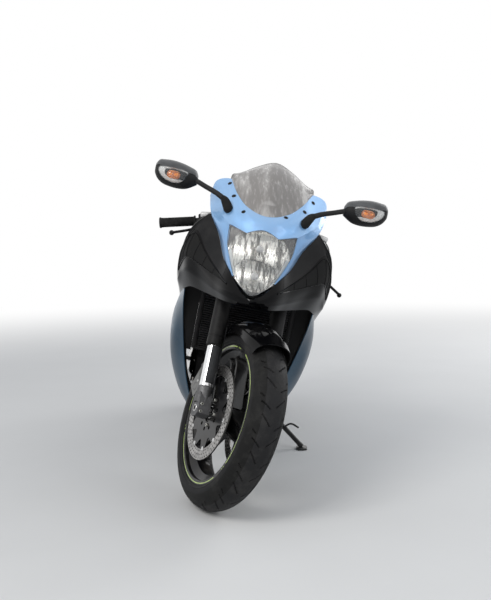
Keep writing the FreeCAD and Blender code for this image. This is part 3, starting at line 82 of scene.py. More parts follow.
# %% [markdown]
# ## Collecting shapes into a piece
# A real part is often several shapes in several finishes, such as a lever with its pivot bolt.
# One small class collects points and faces in the part's own axes, then makes a single mesh object,
# sets it in place, lets it ride on its body and hides the nodes of the model that it stands for.
# Edges that meet sharply are marked sharp, and a small bevel catches the light along them as real edges do.

# %% The Piece class
class Piece:
    def __init__(self, name, place=BIKE):
        self.name, self.place = name, place
        self.points, self.faces, self.marks, self.finishes = [], [], [], []

    def add(self, points, faces, finish, mirror=False):
        """Add a shape, and its mirror image too if the bike has one on each side."""
        if finish not in self.finishes:
            self.finishes.append(finish)
        start = len(self.points)
        self.points += [tuple(map(float, p)) for p in points]
        self.faces += [[start + corner for corner in face] for face in faces]
        self.marks += [self.finishes.index(finish)] * len(faces)
        if mirror:
            self.add([(-p[0], p[1], p[2]) for p in points], [face[::-1] for face in faces], finish)
        return self

    def mesh(self, smooth):
        made = bpy.data.meshes.new(self.name)
        made.from_pydata(self.points, [], self.faces)
        made.polygons.foreach_set("material_index", self.marks)
        made.transform(self.place)
        for finish in self.finishes:
            made.materials.append(finish)
        work = bmesh.new()
        work.from_mesh(made)
        bmesh.ops.remove_doubles(work, verts=work.verts, dist=2e-6)
        bmesh.ops.dissolve_degenerate(work, edges=work.edges, dist=1e-7)
        bmesh.ops.recalc_face_normals(work, faces=work.faces)
        work.to_mesh(made)
        work.free()
        made.shade_smooth()
        made.set_sharp_from_angle(angle=math.radians(smooth))
        return made

    def done(self, body, replaces, slot, bevel=0.0, smooth=38):
        """Make the object. bevel is in millimetres, smooth in degrees."""
        item = bpy.data.objects.new(self.name, self.mesh(smooth))
        bpy.context.scene.collection.objects.link(item)
        if bevel:
            soften = item.modifiers.new("soft_edges", "BEVEL")
            soften.width, soften.segments, soften.limit_method = bevel * 0.001, 2, "ANGLE"
            soften.angle_limit, soften.harden_normals = math.radians(smooth), True
        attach(item, body)
        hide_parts(*replaces)
        print(f"{self.name}: {len(item.data.polygons)} faces")
        return item


# %% [markdown]
# ## Curves through a few points
# Fairing panels, tubes and cushions are all smooth surfaces through a few measured points.
# A curve that passes through its points keeps the measured shape, where a subdivision surface would shrink it.
# The slopes follow the spacing of the points, so unevenly spaced ribs don't ripple,
# and a rib can be marked sharp where the real panel has a folded edge.

# %% Smooth rows, lofts and panels
def refine(rows, steps, sharp=(), loop=False):
    """More rows on smooth curves through the given ones, folded at the sharp rows."""
    rows = np.asarray(rows, float)
    if loop:
        rows = np.concatenate([rows[-2:], rows, rows[:3]])
    flat = rows.reshape(len(rows), -1, 3)
    gap = np.maximum(np.linalg.norm(np.diff(flat, axis=0), axis=2).mean(axis=1), 1e-6)
    slope = np.diff(flat, axis=0) / gap[:, None, None]
    before, after = np.empty_like(flat), np.empty_like(flat)
    for i in range(len(flat)):
        if i in sharp or i in (0, len(flat) - 1):
            before[i], after[i] = slope[max(i - 1, 0)], slope[min(i, len(slope) - 1)]
        else:
            near, far = gap[i - 1], gap[i]
            before[i] = after[i] = (slope[i - 1] * far + slope[i] * near) / (near + far)
    made = []
    for i in range(len(flat) - 1):
        for t in np.arange(steps) / steps:
            made.append(flat[i] * (2 * t ** 3 - 3 * t ** 2 + 1) + flat[i + 1] * (3 * t ** 2 - 2 * t ** 3) + gap[i]
                * (after[i] * (t ** 3 - 2 * t ** 2 + t) + before[i + 1] * (t ** 3 - t ** 2)))
    made.append(flat[-1])
    made = np.array(made)
    if loop:
        made = made[2 * steps:-2 * steps - 1]
    return made.reshape((len(made),) + rows.shape[1:])


def smooth_grid(ribs, along=6, across=4, sharp_ribs=(), sharp_lines=()):
    """A fine grid of points through a coarse one, smooth both ways."""
    grid = refine(ribs, along, sharp_ribs)
    return refine(grid.swapaxes(0, 1), across, sharp_lines).swapaxes(0, 1)


def both_sides(ribs):
    """Ribs of the left half, first one on the middle plane, with the right half in front."""
    ribs = np.asarray(ribs, float)
    return np.concatenate([ribs[:0:-1] * (-1, 1, 1), ribs])


def mirrored(half, skip=1):
    """A whole rib from its left half; skip is the number of its last points that lie on the middle plane."""
    return half + [(-x, y, z) for x, y, z in half[::-1][skip:]]


def closed(ring, steps):
    """A smooth closed loop through the given points."""
    return refine(np.array(ring, float)[:, None], steps, loop=True)[:, 0]


def grid_faces(rows, columns, start=0, flip=False, loop=False):
    """Quads of a grid of points; loop joins the last column to the first."""
    found = []
    for i in range(rows - 1):
        for j in range(columns if loop else columns - 1):
            k = (j + 1) % columns
            quad = [start + i * columns + j, start + i * columns + k,
                    start + (i + 1) * columns + k, start + (i + 1) * columns + j]
            found.append(quad[::-1] if flip else quad)
    return found


def normals(grid):
    """Unit normals of a grid of points."""
    found = np.cross(np.gradient(grid, axis=0), np.gradient(grid, axis=1))
    return found / np.maximum(np.linalg.norm(found, axis=2, keepdims=True), 1e-9)


def panel(piece, grid, wall, inside, finish, back=None, mirror=False):
    """A sheet of even thickness, grown towards a point inside the bike, with a closed rim."""
    grid = np.asarray(grid, float)
    out = normals(grid)
    if ((grid - np.asarray(inside, float)) * out).sum() < 0:
        out = -out
    rows, columns = grid.shape[:2]
    count = rows * columns
    points = np.concatenate([grid.reshape(-1, 3), (grid - out * wall).reshape(-1, 3)])
    rim = ([(i, 0) for i in range(rows)] + [(rows - 1, j) for j in range(1, columns)]
           + [(i, columns - 1) for i in range(rows - 2, -1, -1)] + [(0, j) for j in range(columns - 2, 0, -1)])
    ring = [i * columns + j for i, j in rim]
    edge = [[a, b, b + count, a + count] for a, b in zip(ring, ring[1:] + ring[:1])]
    piece.add(points, grid_faces(rows, columns) + edge, finish, mirror)
    return piece.add(points, grid_faces(rows, columns, count, True), back or finish, mirror)


def loft(piece, rings, finish, mirror=False):
    """A skin over closed rings of points, with flat ends."""
    rings = np.asarray(rings, float)
    count, size = rings.shape[:2]
    faces = grid_faces(count, size, loop=True) + [list(range(size))[::-1],
        list(range((count - 1) * size, count * size))]
    return piece.add(rings.reshape(-1, 3), faces, finish, mirror)


# %% [markdown]
# ## Round bars, turned parts and blocks
# Most of the running gear is turned, drawn or machined: bolts, axles, tubes, plates.
# Sweeping a circle along a smooth path makes a tube, spinning a profile makes a turned part,
# and a block is a rounded rectangle whose ends are drawn in a little, so no edge is knife sharp.

# %% Tubes, turned parts, blocks and bolts
LEFT, BACK, UP, RIGHT, AHEAD = (1, 0, 0), (0, 1, 0), (0, 0, 1), (-1, 0, 0), (0, -1, 0)


def polar(radius, angle):
    """A point on a circle about the origin, as its places along two axes."""
    return radius * math.sin(angle), radius * math.cos(angle)


def cross_axes(direction):
    """Two unit directions at right angles to the given one."""
    direction = np.asarray(direction, float) / np.linalg.norm(direction)
    helper = np.array((0, 0, 1.0)) if abs(direction[2]) < 0.9 else np.array((1.0, 0, 0))
    first = np.cross(helper, direction)
    first /= np.linalg.norm(first)
    return first, np.cross(direction, first)


def tube(piece, path, radius, finish, sides=14, steps=6, mirror=False, flat=1.0, smooth=True):
    """A bar along a path. radius is one number or one for each point of the path."""
    path = np.asarray(path, float)
    sizes = np.full(len(path), radius) if np.isscalar(radius) else np.asarray(radius, float)
    if smooth and len(path) > 2:
        fine = refine(np.concatenate([path, sizes[:, None]], axis=1).reshape(len(path), 1, 4)[:, :, :3], steps)[:, 0]
        sizes = np.interp(np.arange(len(fine)) / steps, np.arange(len(path)), sizes)
        path = fine
    ways = np.gradient(path, axis=0)
    side = cross_axes(ways[0])[0]
    rings = []
    for point, way, size in zip(path, ways, sizes):
        way = way / np.linalg.norm(way)
        side = side - way * side.dot(way)
        side /= np.linalg.norm(side)
        other = np.cross(way, side)
        rings.append([point + size * (math.cos(a) * side + flat * math.sin(a) * other) for a in np.arange(sides) * 2
            * math.pi / sides])
    return loft(piece, rings, finish, mirror=mirror)


def hexagon(angle):
    """Radius of a hexagon of unit apothem at an angle."""
    return 1 / math.cos((angle + math.pi / 6) % (math.pi / 3) - math.pi / 6)


def lathe(piece, profile, finish, at=(0, 0, 0), way=LEFT, steps=32, mirror=False, loop=False, arc=None):
    """Spin (distance along, radius) pairs about an axis; a third value of 6 makes that ring a hexagon."""
    way = np.asarray(way, float) / np.linalg.norm(way)
    first, second = cross_axes(way)
    low, high = arc or (0, 360)
    whole = high - low >= 360
    turns = np.radians(low) + np.arange(steps + (0 if whole else 1)) * math.radians(high - low) / steps
    points = []
    for entry in profile:
        for angle in turns:
            radius = entry[1] * (hexagon(angle) if len(entry) > 2 else 1)
            points.append(np.asarray(at, float) + way * entry[0] + radius
                * (math.cos(angle) * first + math.sin(angle) * second))
    count, size = len(profile), len(turns)
    faces = grid_faces(count, size, loop=whole)
    if loop:
        faces += [[(count - 1) * size + j, (count - 1) * size + (j + 1) % size, (j + 1) % size, j]
            for j in range(size if whole else size - 1)]
    return piece.add(points, faces, finish, mirror)


def solid_of(length, radius, edge=1.0):
    """Profile of a plain cylinder with eased edges, closed on its axis."""
    return [(0, 0), (0, radius - edge), (edge, radius), (length - edge, radius), (length, radius - edge), (length, 0)]


def bolt(piece, at, way, radius, finish, height=None, recess_shade=None, mirror=False):
    """A socket-head bolt standing on a surface, with its hexagonal recess, which may take a darker finish as painted
    shade.
    """
    height = height or radius * 0.9
    lathe(piece, [(-1, radius), (height - 0.15 * radius, radius), (height, radius * 0.86),
        (height, radius * 0.46, 6)], finish, at, way, 18, mirror)
    lathe(piece, [(height, radius * 0.46, 6), (height * 0.35, radius * 0.46, 6), (height * 0.35, 0)],
          recess_shade or finish, at, way, 18, mirror)


def nut(piece, at, way, radius, height, finish, mirror=False):
    """A hexagon nut on its washer, with the thread's end showing."""
    lathe(piece, [(0, radius * 1.25), (1.5, radius * 1.25), (1.5, radius, 6), (height, radius, 6),
        (height + 1, radius * 0.8), (height + 1, radius * 0.6), (height + 3, radius * 0.55), (height + 3, 0)], finish,
        at, way, 24, mirror)


def rounded_section(width, depth, corner, parts=3):
    """Corners of a rounded rectangle about the origin."""
    corner = min(corner, width / 2 - 0.01, depth / 2 - 0.01)
    found = []
    for quarter, (sx, sy) in enumerate(((1, 1), (-1, 1), (-1, -1), (1, -1))):
        for step in range(parts + 1):
            angle = math.pi / 2 * (quarter + step / parts)
            found.append((sx * (width / 2 - corner) + corner * math.cos(angle), sy * (depth / 2 - corner) + corner
                * math.sin(angle)))
    return found


def box_ring(inner, outer, y, low, high, corner=7, parts=3):
    """A rounded rectangle across the bike, from its inner to its outer side and from low to high."""
    return [((inner + outer) / 2 + a, y, (low + high) / 2 + b)
            for a, b in rounded_section(outer - inner, high - low, corner, parts)]


def block(piece, start, end, width, depth, finish, corner=3.0, ease=1.5, up=UP, mirror=False, taper=1.0):
    """A rounded bar of rectangular section from start to end; up is the way its depth points."""
    start, end = np.asarray(start, float), np.asarray(end, float)
    way = (end - start) / np.linalg.norm(end - start)
    side = np.cross(np.asarray(up, float), way)
    side /= np.linalg.norm(side)
    top = np.cross(way, side)
    length = np.linalg.norm(end - start)
    rings = []
    for along, inset in ((0, ease), (ease, 0), (length - ease, 0), (length, ease)):
        scale = 1 + (taper - 1) * along / length
        rings.append([start + way * along + side * a * scale + top * b * scale for a,
            b in rounded_section(width - 2 * inset, depth - 2 * inset, corner)])
    return loft(piece, rings, finish, mirror=mirror)


def slab(piece, outline, low, high, finish, plane="YZ", holes=(), mirror=False):
    """A flat plate with holes, cut from an outline in one of the bike's planes."""
    work = bmesh.new()
    edges = []
    for loop in [outline, *holes]:
        corners = [work.verts.new((a, b, 0)) for a, b in loop]
        edges += [work.edges.new(pair) for pair in zip(corners, corners[1:] + corners[:1])]
    bmesh.ops.triangle_fill(work, edges=edges, use_beauty=True)
    work.verts.index_update()
    flat = [tuple(v.co[:2]) for v in work.verts]
    tops = [[v.index for v in face.verts] for face in work.faces]
    rims = [[e.verts[0].index, e.verts[1].index] for e in work.edges if len(e.link_faces) == 1]
    work.free()
    count = len(flat)
    order = {"YZ": lambda a, b, c: (c, a, b), "XZ": lambda a, b, c: (a, c, b), "XY": lambda a, b, c: (a, b, c)}[plane]
    points = [order(a, b, low) for a, b in flat] + [order(a, b, high) for a, b in flat]
    faces = tops + [[i + count for i in face][::-1] for face in tops] + [[a, b, b + count, a + count] for a,
        b in rims]
    return piece.add(points, faces, finish, mirror)


def circle(x, y, radius, steps=20):
    """Corners of a circle in a plane."""
    return [(x + radius * math.cos(2 * math.pi * i / steps), y + radius * math.sin(2 * math.pi * i / steps))
            for i in range(steps)]


# %% [markdown]
# ## Finishes as sums
# A finish is a small network of nodes, and most of them only add, scale or mix numbers.
# Wrapping a socket in a class with its own + and * lets the network be written as a formula,
# which is much easier to read than a list of nodes and links.

# %% A socket that can be used in sums
class Value:
    def __init__(self, finish, socket):
        self.finish, self.socket = finish, socket

    def sum(self, operation, *others):
        sides = {index: side for index, side in enumerate(others)}
        return self.finish.node("Math", {"operation": operation}, sides)

    def __add__(self, other): return self.sum("ADD", self, other)
    def __radd__(self, other): return self.sum("ADD", other, self)
    def __sub__(self, other): return self.sum("SUBTRACT", self, other)
    def __rsub__(self, other): return self.sum("SUBTRACT", other, self)
    def __mul__(self, other): return self.sum("MULTIPLY", self, other)
    def __rmul__(self, other): return self.sum("MULTIPLY", other, self)

    def between(self, low, high):
        """Ease from 0 to 1 while this value goes from low to high."""
        return self.finish.node("MapRange", {"interpolation_type": "SMOOTHSTEP"},
            {"Value": self, "From Min": low, "From Max": high})


class Finish:
    """A material under construction."""
    def __init__(self, name, **fixed):
        self.material = bpy.data.materials.new(name)
        self.material.use_nodes = True
        self.tree = self.material.node_tree
        self.shader = self.tree.nodes["Principled BSDF"]
        self.set(**fixed)

    def plug(self, socket, value):
        if isinstance(value, Value):
            self.tree.links.new(value.socket, socket)
        else:
            socket.default_value = (*value, 1) if socket.type == "RGBA" and len(value) == 3 else value

    def node(self, kind, settings=None, inputs=None, output=0):
        """Add a node: its settings first, then the values or links of its sockets."""
        made = self.tree.nodes.new("ShaderNode" + kind)
        for key, value in (settings or {}).items():
            if key == "stops":
                ramp = made.color_ramp.elements
                while len(ramp) < len(value):
                    ramp.new(0.5)
                for stop, (position, colour) in zip(ramp, value):
                    stop.position, stop.color = position, (*colour, 1)
            else:
                setattr(made, key, value)
        for key, value in (inputs or {}).items():
            self.plug(made.inputs[key], value)
        return Value(self, made.outputs[output])

    def set(self, **values):
        """Set the shader's sockets; Base_Color means Base Color."""
        for key, value in values.items():
            self.plug(self.shader.inputs[key.replace("_", " ")], value)
        return self

    def place(self, stretch=(1, 1, 1)):
        """The surface point in metres, in the scene's axes, stretched by axis."""
        return self.node("Mapping", None, {"Vector": self.node("TexCoord", output="Object"), "Scale": stretch})

    def noise(self, scale, detail=3.0, rough=0.5, stretch=(1, 1, 1)):
        return self.node("TexNoise", None, {"Vector": self.place(stretch), "Scale": scale, "Detail": detail,
            "Roughness": rough})

    def cells(self, scale, feature="F1"):
        return self.node("TexVoronoi", {"feature": feature}, {"Vector": self.place(), "Scale": scale}, "Distance")

    def facing(self):
        """How far the surface faces up, from -1 to 1."""
        return self.node("SeparateXYZ", None, {0: self.node("NewGeometry", output="Normal")}, "Z")

    def blend(self, mask, first, second):
        return self.node("Mix", {"data_type": "RGBA"}, {0: mask, 6: first, 7: second}, 2)

    def background_rays(self):
        """1 for rays from the camera, from gloss and through glass, 0 for all others."""
        path = self.tree.nodes.new("ShaderNodeLightPath")
        first, *others = [Value(self, path.outputs[f"Is {kind} Ray"])
            for kind in ("Camera", "Glossy", "Transmission")]
        for other in others:
            first = first.sum("MAXIMUM", first, other)
        return first

    def bump(self, height, depth, strength=1.0):
        """Small relief; depth is in metres."""
        self.set(Normal=self.node("Bump", None, {"Height": height, "Distance": depth, "Strength": strength}))
        return self


# %% [markdown]
# ## Paint, lacquer and moulded plastic
# The fairing is metallic blue under clear lacquer, with gloss black middle panels.
# Metallic paint sparkles because tiny flakes tilt each way, so cells of slightly different brightness
# sit under a smooth coat. Its colour is also painted lighter where it faces up and deeper where it faces
# sideways and down, a painted shade. A little road film dulls the lacquer, more on what faces up.
# Unpainted plastic has a fine moulded grain, greyer in random patches and more so on what faces up.

# %% Paints and plastics
def film(finish, amount=0.12):
    """Patchy road film, from 0 to amount, thicker on what faces up."""
    patches = finish.noise(9, 6, 0.65).between(0.45, 0.75)
    return patches * amount * (0.5 + 0.5 * finish.facing())


def metallic_paint(name, deep, bright, sparkle=0.35, coat=1.0):
    paint = Finish(name, Metallic=0.45, Roughness=0.34, Coat_Roughness=0.04, Coat_IOR=1.5, Specular_IOR_Level=0.2)
    flakes = paint.node("TexVoronoi", None, {"Vector": paint.place(), "Scale": 1400.0}, "Color")
    grey = paint.node("RGBToBW", None, {0: flakes})
    # The tone is partly random and partly painted shade: lighter where the surface faces up, deeper where it faces
    # sideways and down.
    random_tone_and_painted_shade = paint.noise(2.2, 2).between(0.35, 0.65) * 0.35 + paint.facing().between(-0.25, 0.75) * 0.65
    colour = paint.blend(random_tone_and_painted_shade, deep, bright)
    colour = paint.blend(grey * sparkle, colour, bright)
    colour = paint.blend(film(paint, 0.2), colour, (0.55, 0.53, 0.5))
    return paint.set(Base_Color=colour, Roughness=0.3 + film(paint, 0.5) + grey * 0.08,
        Coat_Weight=(1 - film(paint, 0.9)) * coat).material


def lacquer(name, colour, dust=0.12, rough=0.1):
    gloss = Finish(name, Coat_Weight=0.16, Coat_Roughness=0.04, Specular_IOR_Level=0.07)
    smear = film(gloss, dust)
    return gloss.set(Base_Color=gloss.blend(smear, colour, (0.35, 0.33, 0.3)), Roughness=rough + smear * 2.5).material


def plastic(name, colour, worn, rough=0.5):
    moulded = Finish(name, Specular_IOR_Level=0.22)
    height = moulded.cells(1600.0)
    patches = moulded.noise(14, 5, 0.6)
    # Greyer in random patches and more so on what faces up.
    shade = patches.between(0.4, 0.75) * 0.55 + moulded.facing().between(0.2, 1.0) * 0.3
    moulded.set(Base_Color=moulded.blend(shade, colour, worn), Roughness=rough + patches.between(0.3, 0.8) * 0.18)
    return moulded.bump(height + patches * 0.4, 0.00012, 0.6).material


sky_blue = metallic_paint("metallic_sky_blue", (0.060, 0.185, 0.42), (0.27, 0.50, 0.82))
deep_blue = metallic_paint("metallic_deep_blue", (0.003, 0.020, 0.040), (0.035, 0.135, 0.235), 0.2, 0.35)
gloss_black = lacquer("gloss_black", (0.0025, 0.0025, 0.003), 0.02, 0.09)
smoke_black = lacquer("smoke_black", (0.012, 0.012, 0.013), 0.06, 0.16)
black_plastic = plastic("black_moulded_plastic", (0.008, 0.008, 0.0085), (0.032, 0.032, 0.033))
shell_grey = plastic("mirror_shell_grey", (0.06, 0.062, 0.065), (0.17, 0.175, 0.18), 0.32)
grey_plastic = plastic("dark_grey_plastic", (0.03, 0.031, 0.033), (0.085, 0.087, 0.09), 0.55)
inner_plastic = plastic("inner_panel_black", (0.006, 0.006, 0.006), (0.016, 0.016, 0.017), 0.7)


# %% [markdown]
# ## Rubber, vinyl and tyre
# Tyre rubber is never one grey: the middle of the tread is polished by the road, the shoulders stay darker
# and dusty, and the side wall shows faint rings from its mould. Grips and boots are plain soft rubber.
# The seat's cover is textured vinyl: a pebble grain between fine pores.

# %% Rubbers and seat cover
def rubber(name, colour, dusty, rough=0.72, scale=420.0, grain=0.0002):
    soft = Finish(name, Specular_IOR_Level=0.14)
    dust = soft.noise(18, 6, 0.7).between(0.42, 0.8)
    soft.set(Base_Color=soft.blend(dust * 0.7, colour, dusty), Roughness=rough + dust * 0.15)
    return soft.bump(soft.noise(scale, 4, 0.6) + soft.cells(scale * 2.3) * 0.4, grain, 0.7).material


def seat_cover(name, colour, worn):
    vinyl = Finish(name, Specular_IOR_Level=0.38, Sheen_Weight=0.12, Sheen_Roughness=0.5)
    pebbles = vinyl.cells(520.0, "SMOOTH_F1")
    wear = vinyl.noise(7, 4, 0.6).between(0.4, 0.75) * 0.5 + vinyl.facing().between(0.3, 1.0) * 0.35
    vinyl.set(Base_Color=vinyl.blend(wear, colour, worn), Roughness=0.62 - wear * 0.14 + pebbles * 0.1)
    return vinyl.bump(pebbles - vinyl.noise(2200, 2) * 0.3, 0.00035, 0.8).material


black_rubber = rubber("black_rubber", (0.010, 0.010, 0.010), (0.045, 0.044, 0.042))
tread_rubber = rubber("tread_rubber", (0.009, 0.009, 0.009), (0.042, 0.041, 0.039), 0.62, 900.0, 0.0003)
worn_tread = rubber("worn_tread_rubber", (0.017, 0.017, 0.018), (0.055, 0.053, 0.051), 0.55, 1300.0, 0.0004)
wall_rubber = rubber("side_wall_rubber", (0.010, 0.010, 0.011), (0.05, 0.048, 0.045), 0.58, 260.0, 0.0001)
black_vinyl = seat_cover("black_seat_vinyl", (0.009, 0.009, 0.010), (0.034, 0.034, 0.036))
grey_vinyl = seat_cover("grey_seat_vinyl", (0.022, 0.022, 0.024), (0.06, 0.06, 0.063))


# %% [markdown]
# ## Metals
# Bare metal is told apart by its marks: cast parts are pebbled and dull, turned and brushed parts have
# fine lines one way, and hard chrome is nearly a mirror. Header pipes turn straw, purple and blue where they
# are hottest, next to the engine. Each is a base colour with one of these marks in its roughness and relief.

# %% Metals
def metal(name, colour, dull, rough=0.32, cast=0.0, brushed=None, metallic=1.0, coat=0.0):
    bare = Finish(name, Metallic=metallic, Coat_Weight=coat, Coat_Roughness=0.08, Specular_IOR_Level=0.5
        if metallic > 0.9 else 0.2)
    stain = bare.noise(26, 6, 0.65).between(0.42, 0.78)
    height, spread = stain * 0.3, stain * 0.16
    if cast:
        pits = bare.cells(900.0) + bare.noise(1500, 3) * 0.6
        height, spread = height + pits, spread + pits * 0.06
    if brushed:
        lines = bare.noise(900, 2, 0.5, brushed)
        height, spread = height + lines * 0.5, spread + lines * 0.14
    bare.set(Base_Color=bare.blend(stain * 0.75, colour, dull), Roughness=rough + spread)
    return bare.bump(height, max(cast, 0.00004), 0.6).material


steel = metal("bright_steel", (0.60, 0.60, 0.60), (0.34, 0.33, 0.32), 0.24)
hard_chrome = metal("hard_chrome_tube", (0.82, 0.82, 0.83), (0.66, 0.66, 0.66), 0.07, brushed=(1, 1, 0.02))
zinc = metal("zinc_plated_steel", (0.50, 0.50, 0.47), (0.28, 0.27, 0.24), 0.36)
silver_cast = metal("silver_cast_aluminium", (0.56, 0.56, 0.56), (0.33, 0.33, 0.33), 0.42, cast=0.00018)
grey_cast = metal("grey_cast_aluminium", (0.16, 0.16, 0.165), (0.075, 0.074, 0.072), 0.46, cast=0.0002)
black_cast = metal("black_coated_casting", (0.007, 0.007, 0.0075), (0.028, 0.027, 0.026), 0.46, cast=0.00015,
    metallic=0.12)
frame_metal = metal("satin_black_frame", (0.016, 0.016, 0.017), (0.05, 0.05, 0.05), 0.36, cast=0.0001, metallic=0.35,
    coat=0.25)
swing_metal = metal("satin_grey_aluminium", (0.13, 0.13, 0.137), (0.08, 0.08, 0.08), 0.38, brushed=(1, 0.05, 1))
wheel_black = metal("wheel_black", (0.007, 0.007, 0.008), (0.034, 0.031, 0.027), 0.28, metallic=0.1, coat=0.22)
caliper_grey = metal("hard_coated_caliper", (0.20, 0.20, 0.195), (0.09, 0.088, 0.083), 0.44, cast=0.00012)
chain_steel = metal("oiled_chain_steel", (0.26, 0.24, 0.20), (0.05, 0.045, 0.04), 0.38)
fin_metal = metal("radiator_fins", (0.075, 0.075, 0.078), (0.03, 0.03, 0.03), 0.5)
gold_metal = metal("anodised_gold", (0.52, 0.33, 0.09), (0.26, 0.17, 0.06), 0.3)

disc_steel = Finish("brake_disc_steel", Metallic=1.0)
rings = disc_steel.noise(60, 5, 0.7)
disc_steel.set(Base_Color=disc_steel.blend(rings.between(0.35, 0.7), (0.42, 0.41, 0.40), (0.22, 0.215, 0.21)),
    Roughness=0.26 + rings * 0.2)
disc_steel = disc_steel.bump(disc_steel.noise(3000, 2), 0.00003).material

heat = Finish("heat_tinted_steel", Metallic=1.0)
height_now = heat.node("SeparateXYZ", None, {0: heat.place()}, "Z").between(0.26, 0.60)
tint = heat.node("ValToRGB", {"stops": [(0.0, (0.30, 0.28, 0.26)), (0.45, (0.28, 0.22, 0.16)),
    (0.68, (0.20, 0.13, 0.10)), (0.84, (0.12, 0.09, 0.12)), (1.0, (0.07, 0.08, 0.13))]},
    {0: height_now + heat.noise(14, 3) * 0.3 - 0.15})
soot = heat.noise(22, 6, 0.7).between(0.45, 0.8)
heat.set(Base_Color=heat.blend(soot * 0.6, tint, (0.05, 0.043, 0.036)), Roughness=0.27 + soot * 0.25)
heat_steel = heat.bump(heat.noise(300, 4), 0.00005).material

# %% [markdown]
# ## Clear plastic, glass and lamps
# The screen, the lamp's lens and the indicators are thin clear mouldings. What shows is mostly their gloss,
# so alpha is low where the eye looks straight through and rises at glancing angles, as Fresnel does.
# The old screen is smoked and streaked with dried rain, which makes it less clear in vertical strokes.

# %% Clear and lit materials
def clear(name, colour, alpha, streaks=0.0, rough=0.03):
    thin = Finish(name, Base_Color=colour, Roughness=rough, IOR=1.49, Coat_Weight=0.25, Coat_Roughness=0.02,
        Specular_IOR_Level=0.4)
    seen = alpha + thin.node("Fresnel", None, {"IOR": 1.45}) * 0.8
    if streaks:
        rain = thin.noise(26, 5, 0.6, (1, 0.22, 0.16)).between(0.42, 0.72)
        fine = thin.noise(120, 3, 0.6, (1, 0.3, 0.12)).between(0.5, 0.75)
        stain = rain * 0.7 + fine * 0.5
        seen = seen + stain * streaks
        thin.set(Base_Color=thin.blend(stain, colour, (0.66, 0.64, 0.62)), Roughness=rough + stain * 0.25)
    thin.set(Alpha=seen)
    return thin.material


def lens_with_painted_glints(name, colour, inner, rough=0.2):
    """A coloured lens or bulb, lit only by what falls on it, with each prism cell painted brighter towards its middle
    as a painted highlight.
    """
    lamp = Finish(name, Roughness=rough, Coat_Weight=1.0, Coat_Roughness=0.03, Specular_IOR_Level=0.6)
    prisms = lamp.cells(260.0)
    # inner is the painted highlight at the middle of each cell; colour is the lens's own.
    lamp.set(Base_Color=lamp.blend(prisms.between(0.1, 0.7), inner, colour))
    return lamp.bump(prisms, 0.0006, 0.8).material


screen_clear = clear("smoked_screen", (0.38, 0.36, 0.345), 0.52, streaks=0.40, rough=0.14)
screen_edge = plastic("screen_edge", (0.05, 0.048, 0.046), (0.12, 0.115, 0.11), 0.3)
lens_clear = clear("clear_lens", (0.72, 0.74, 0.75), 0.07, rough=0.02)
amber = lens_with_painted_glints("amber_bulb", (0.72, 0.16, 0.02), (0.95, 0.38, 0.06))
red_lens = lens_with_painted_glints("red_lamp_lens", (0.30, 0.006, 0.006), (0.62, 0.02, 0.015), 0.12)
bulb_glass = lens_with_painted_glints("frosted_bulb", (0.72, 0.72, 0.70), (0.95, 0.95, 0.93), 0.15)
mirror_glass = Finish("mirror_glass", Base_Color=(0.82, 0.84, 0.86), Metallic=1.0)
mirror_glass.set(Roughness=0.015 + mirror_glass.noise(30, 4).between(0.55, 0.8) * 0.06)
mirror_glass = mirror_glass.material
reflector = Finish("chrome_reflector", Metallic=1.0)
# Dark and bright streaks in the chrome's colour are painted shade and painted highlight for the flutes, laid by
# stretched noise.
painted_streaks = reflector.noise(120, 2, 0.5, (1, 0.2, 0.13))
reflector.set(Base_Color=reflector.blend(painted_streaks.between(0.49, 0.58), (0.98, 0.97, 0.94), (0.34, 0.33, 0.31)),
    Roughness=0.10 + painted_streaks * 0.10)
reflector = reflector.material
lamp_corner = plastic("lamp_corner_trim", (0.10, 0.092, 0.086), (0.17, 0.16, 0.15), 0.3)
lime = Finish("lime_rim_stripe", Roughness=0.35, Coat_Weight=0.4)
lime.set(Base_Color=lime.blend(lime.noise(40, 5).between(0.5, 0.75) * 0.6, (0.46, 0.60, 0.16), (0.16, 0.20, 0.10)))
lime = lime.material
white_cup = Finish("translucent_white_cup", Roughness=0.38)
white_cup.set(Base_Color=white_cup.blend(white_cup.noise(60, 4).between(0.4, 0.7), (0.68, 0.67, 0.63),
    (0.50, 0.49, 0.45)))
white_cup = white_cup.material
dial_face = plastic("dial_face", (0.012, 0.012, 0.013), (0.02, 0.02, 0.02), 0.6)
dial_marks = Finish("dial_marks", Roughness=0.5)
dial_marks = dial_marks.set(Base_Color=dial_marks.blend(dial_marks.noise(90, 3), (0.8, 0.8, 0.8),
    (0.6, 0.6, 0.6))).material
display_glass = Finish("display_glass", Roughness=0.18, Coat_Weight=1.0)
display_glass = display_glass.set(Base_Color=display_glass.blend(
    display_glass.noise(160, 2), (0.17, 0.20, 0.17), (0.12, 0.14, 0.12))).material
print("finishes:", len(bpy.data.materials))

# %% [markdown]
# ## Floor, light and camera
# A plain pale floor and big soft lamps show the shapes without competing with them.
# The camera stands where the photograph was taken: its place and turn were worked out from the picture,
# and the lens from the frame's 600 pixels of height. Only rays straight from the camera, from gloss and
# through glass see the white backdrop, so it adds no light to the bike.

# %% Stage
FRAME_HEIGHT, FOCUS = 600, 868.05  # pixels
EYE, HEADING, TILT, ROLL = (-0.0386, -3.4654, 0.9094), 0.972, -5.137, 0.942  # metres and degrees

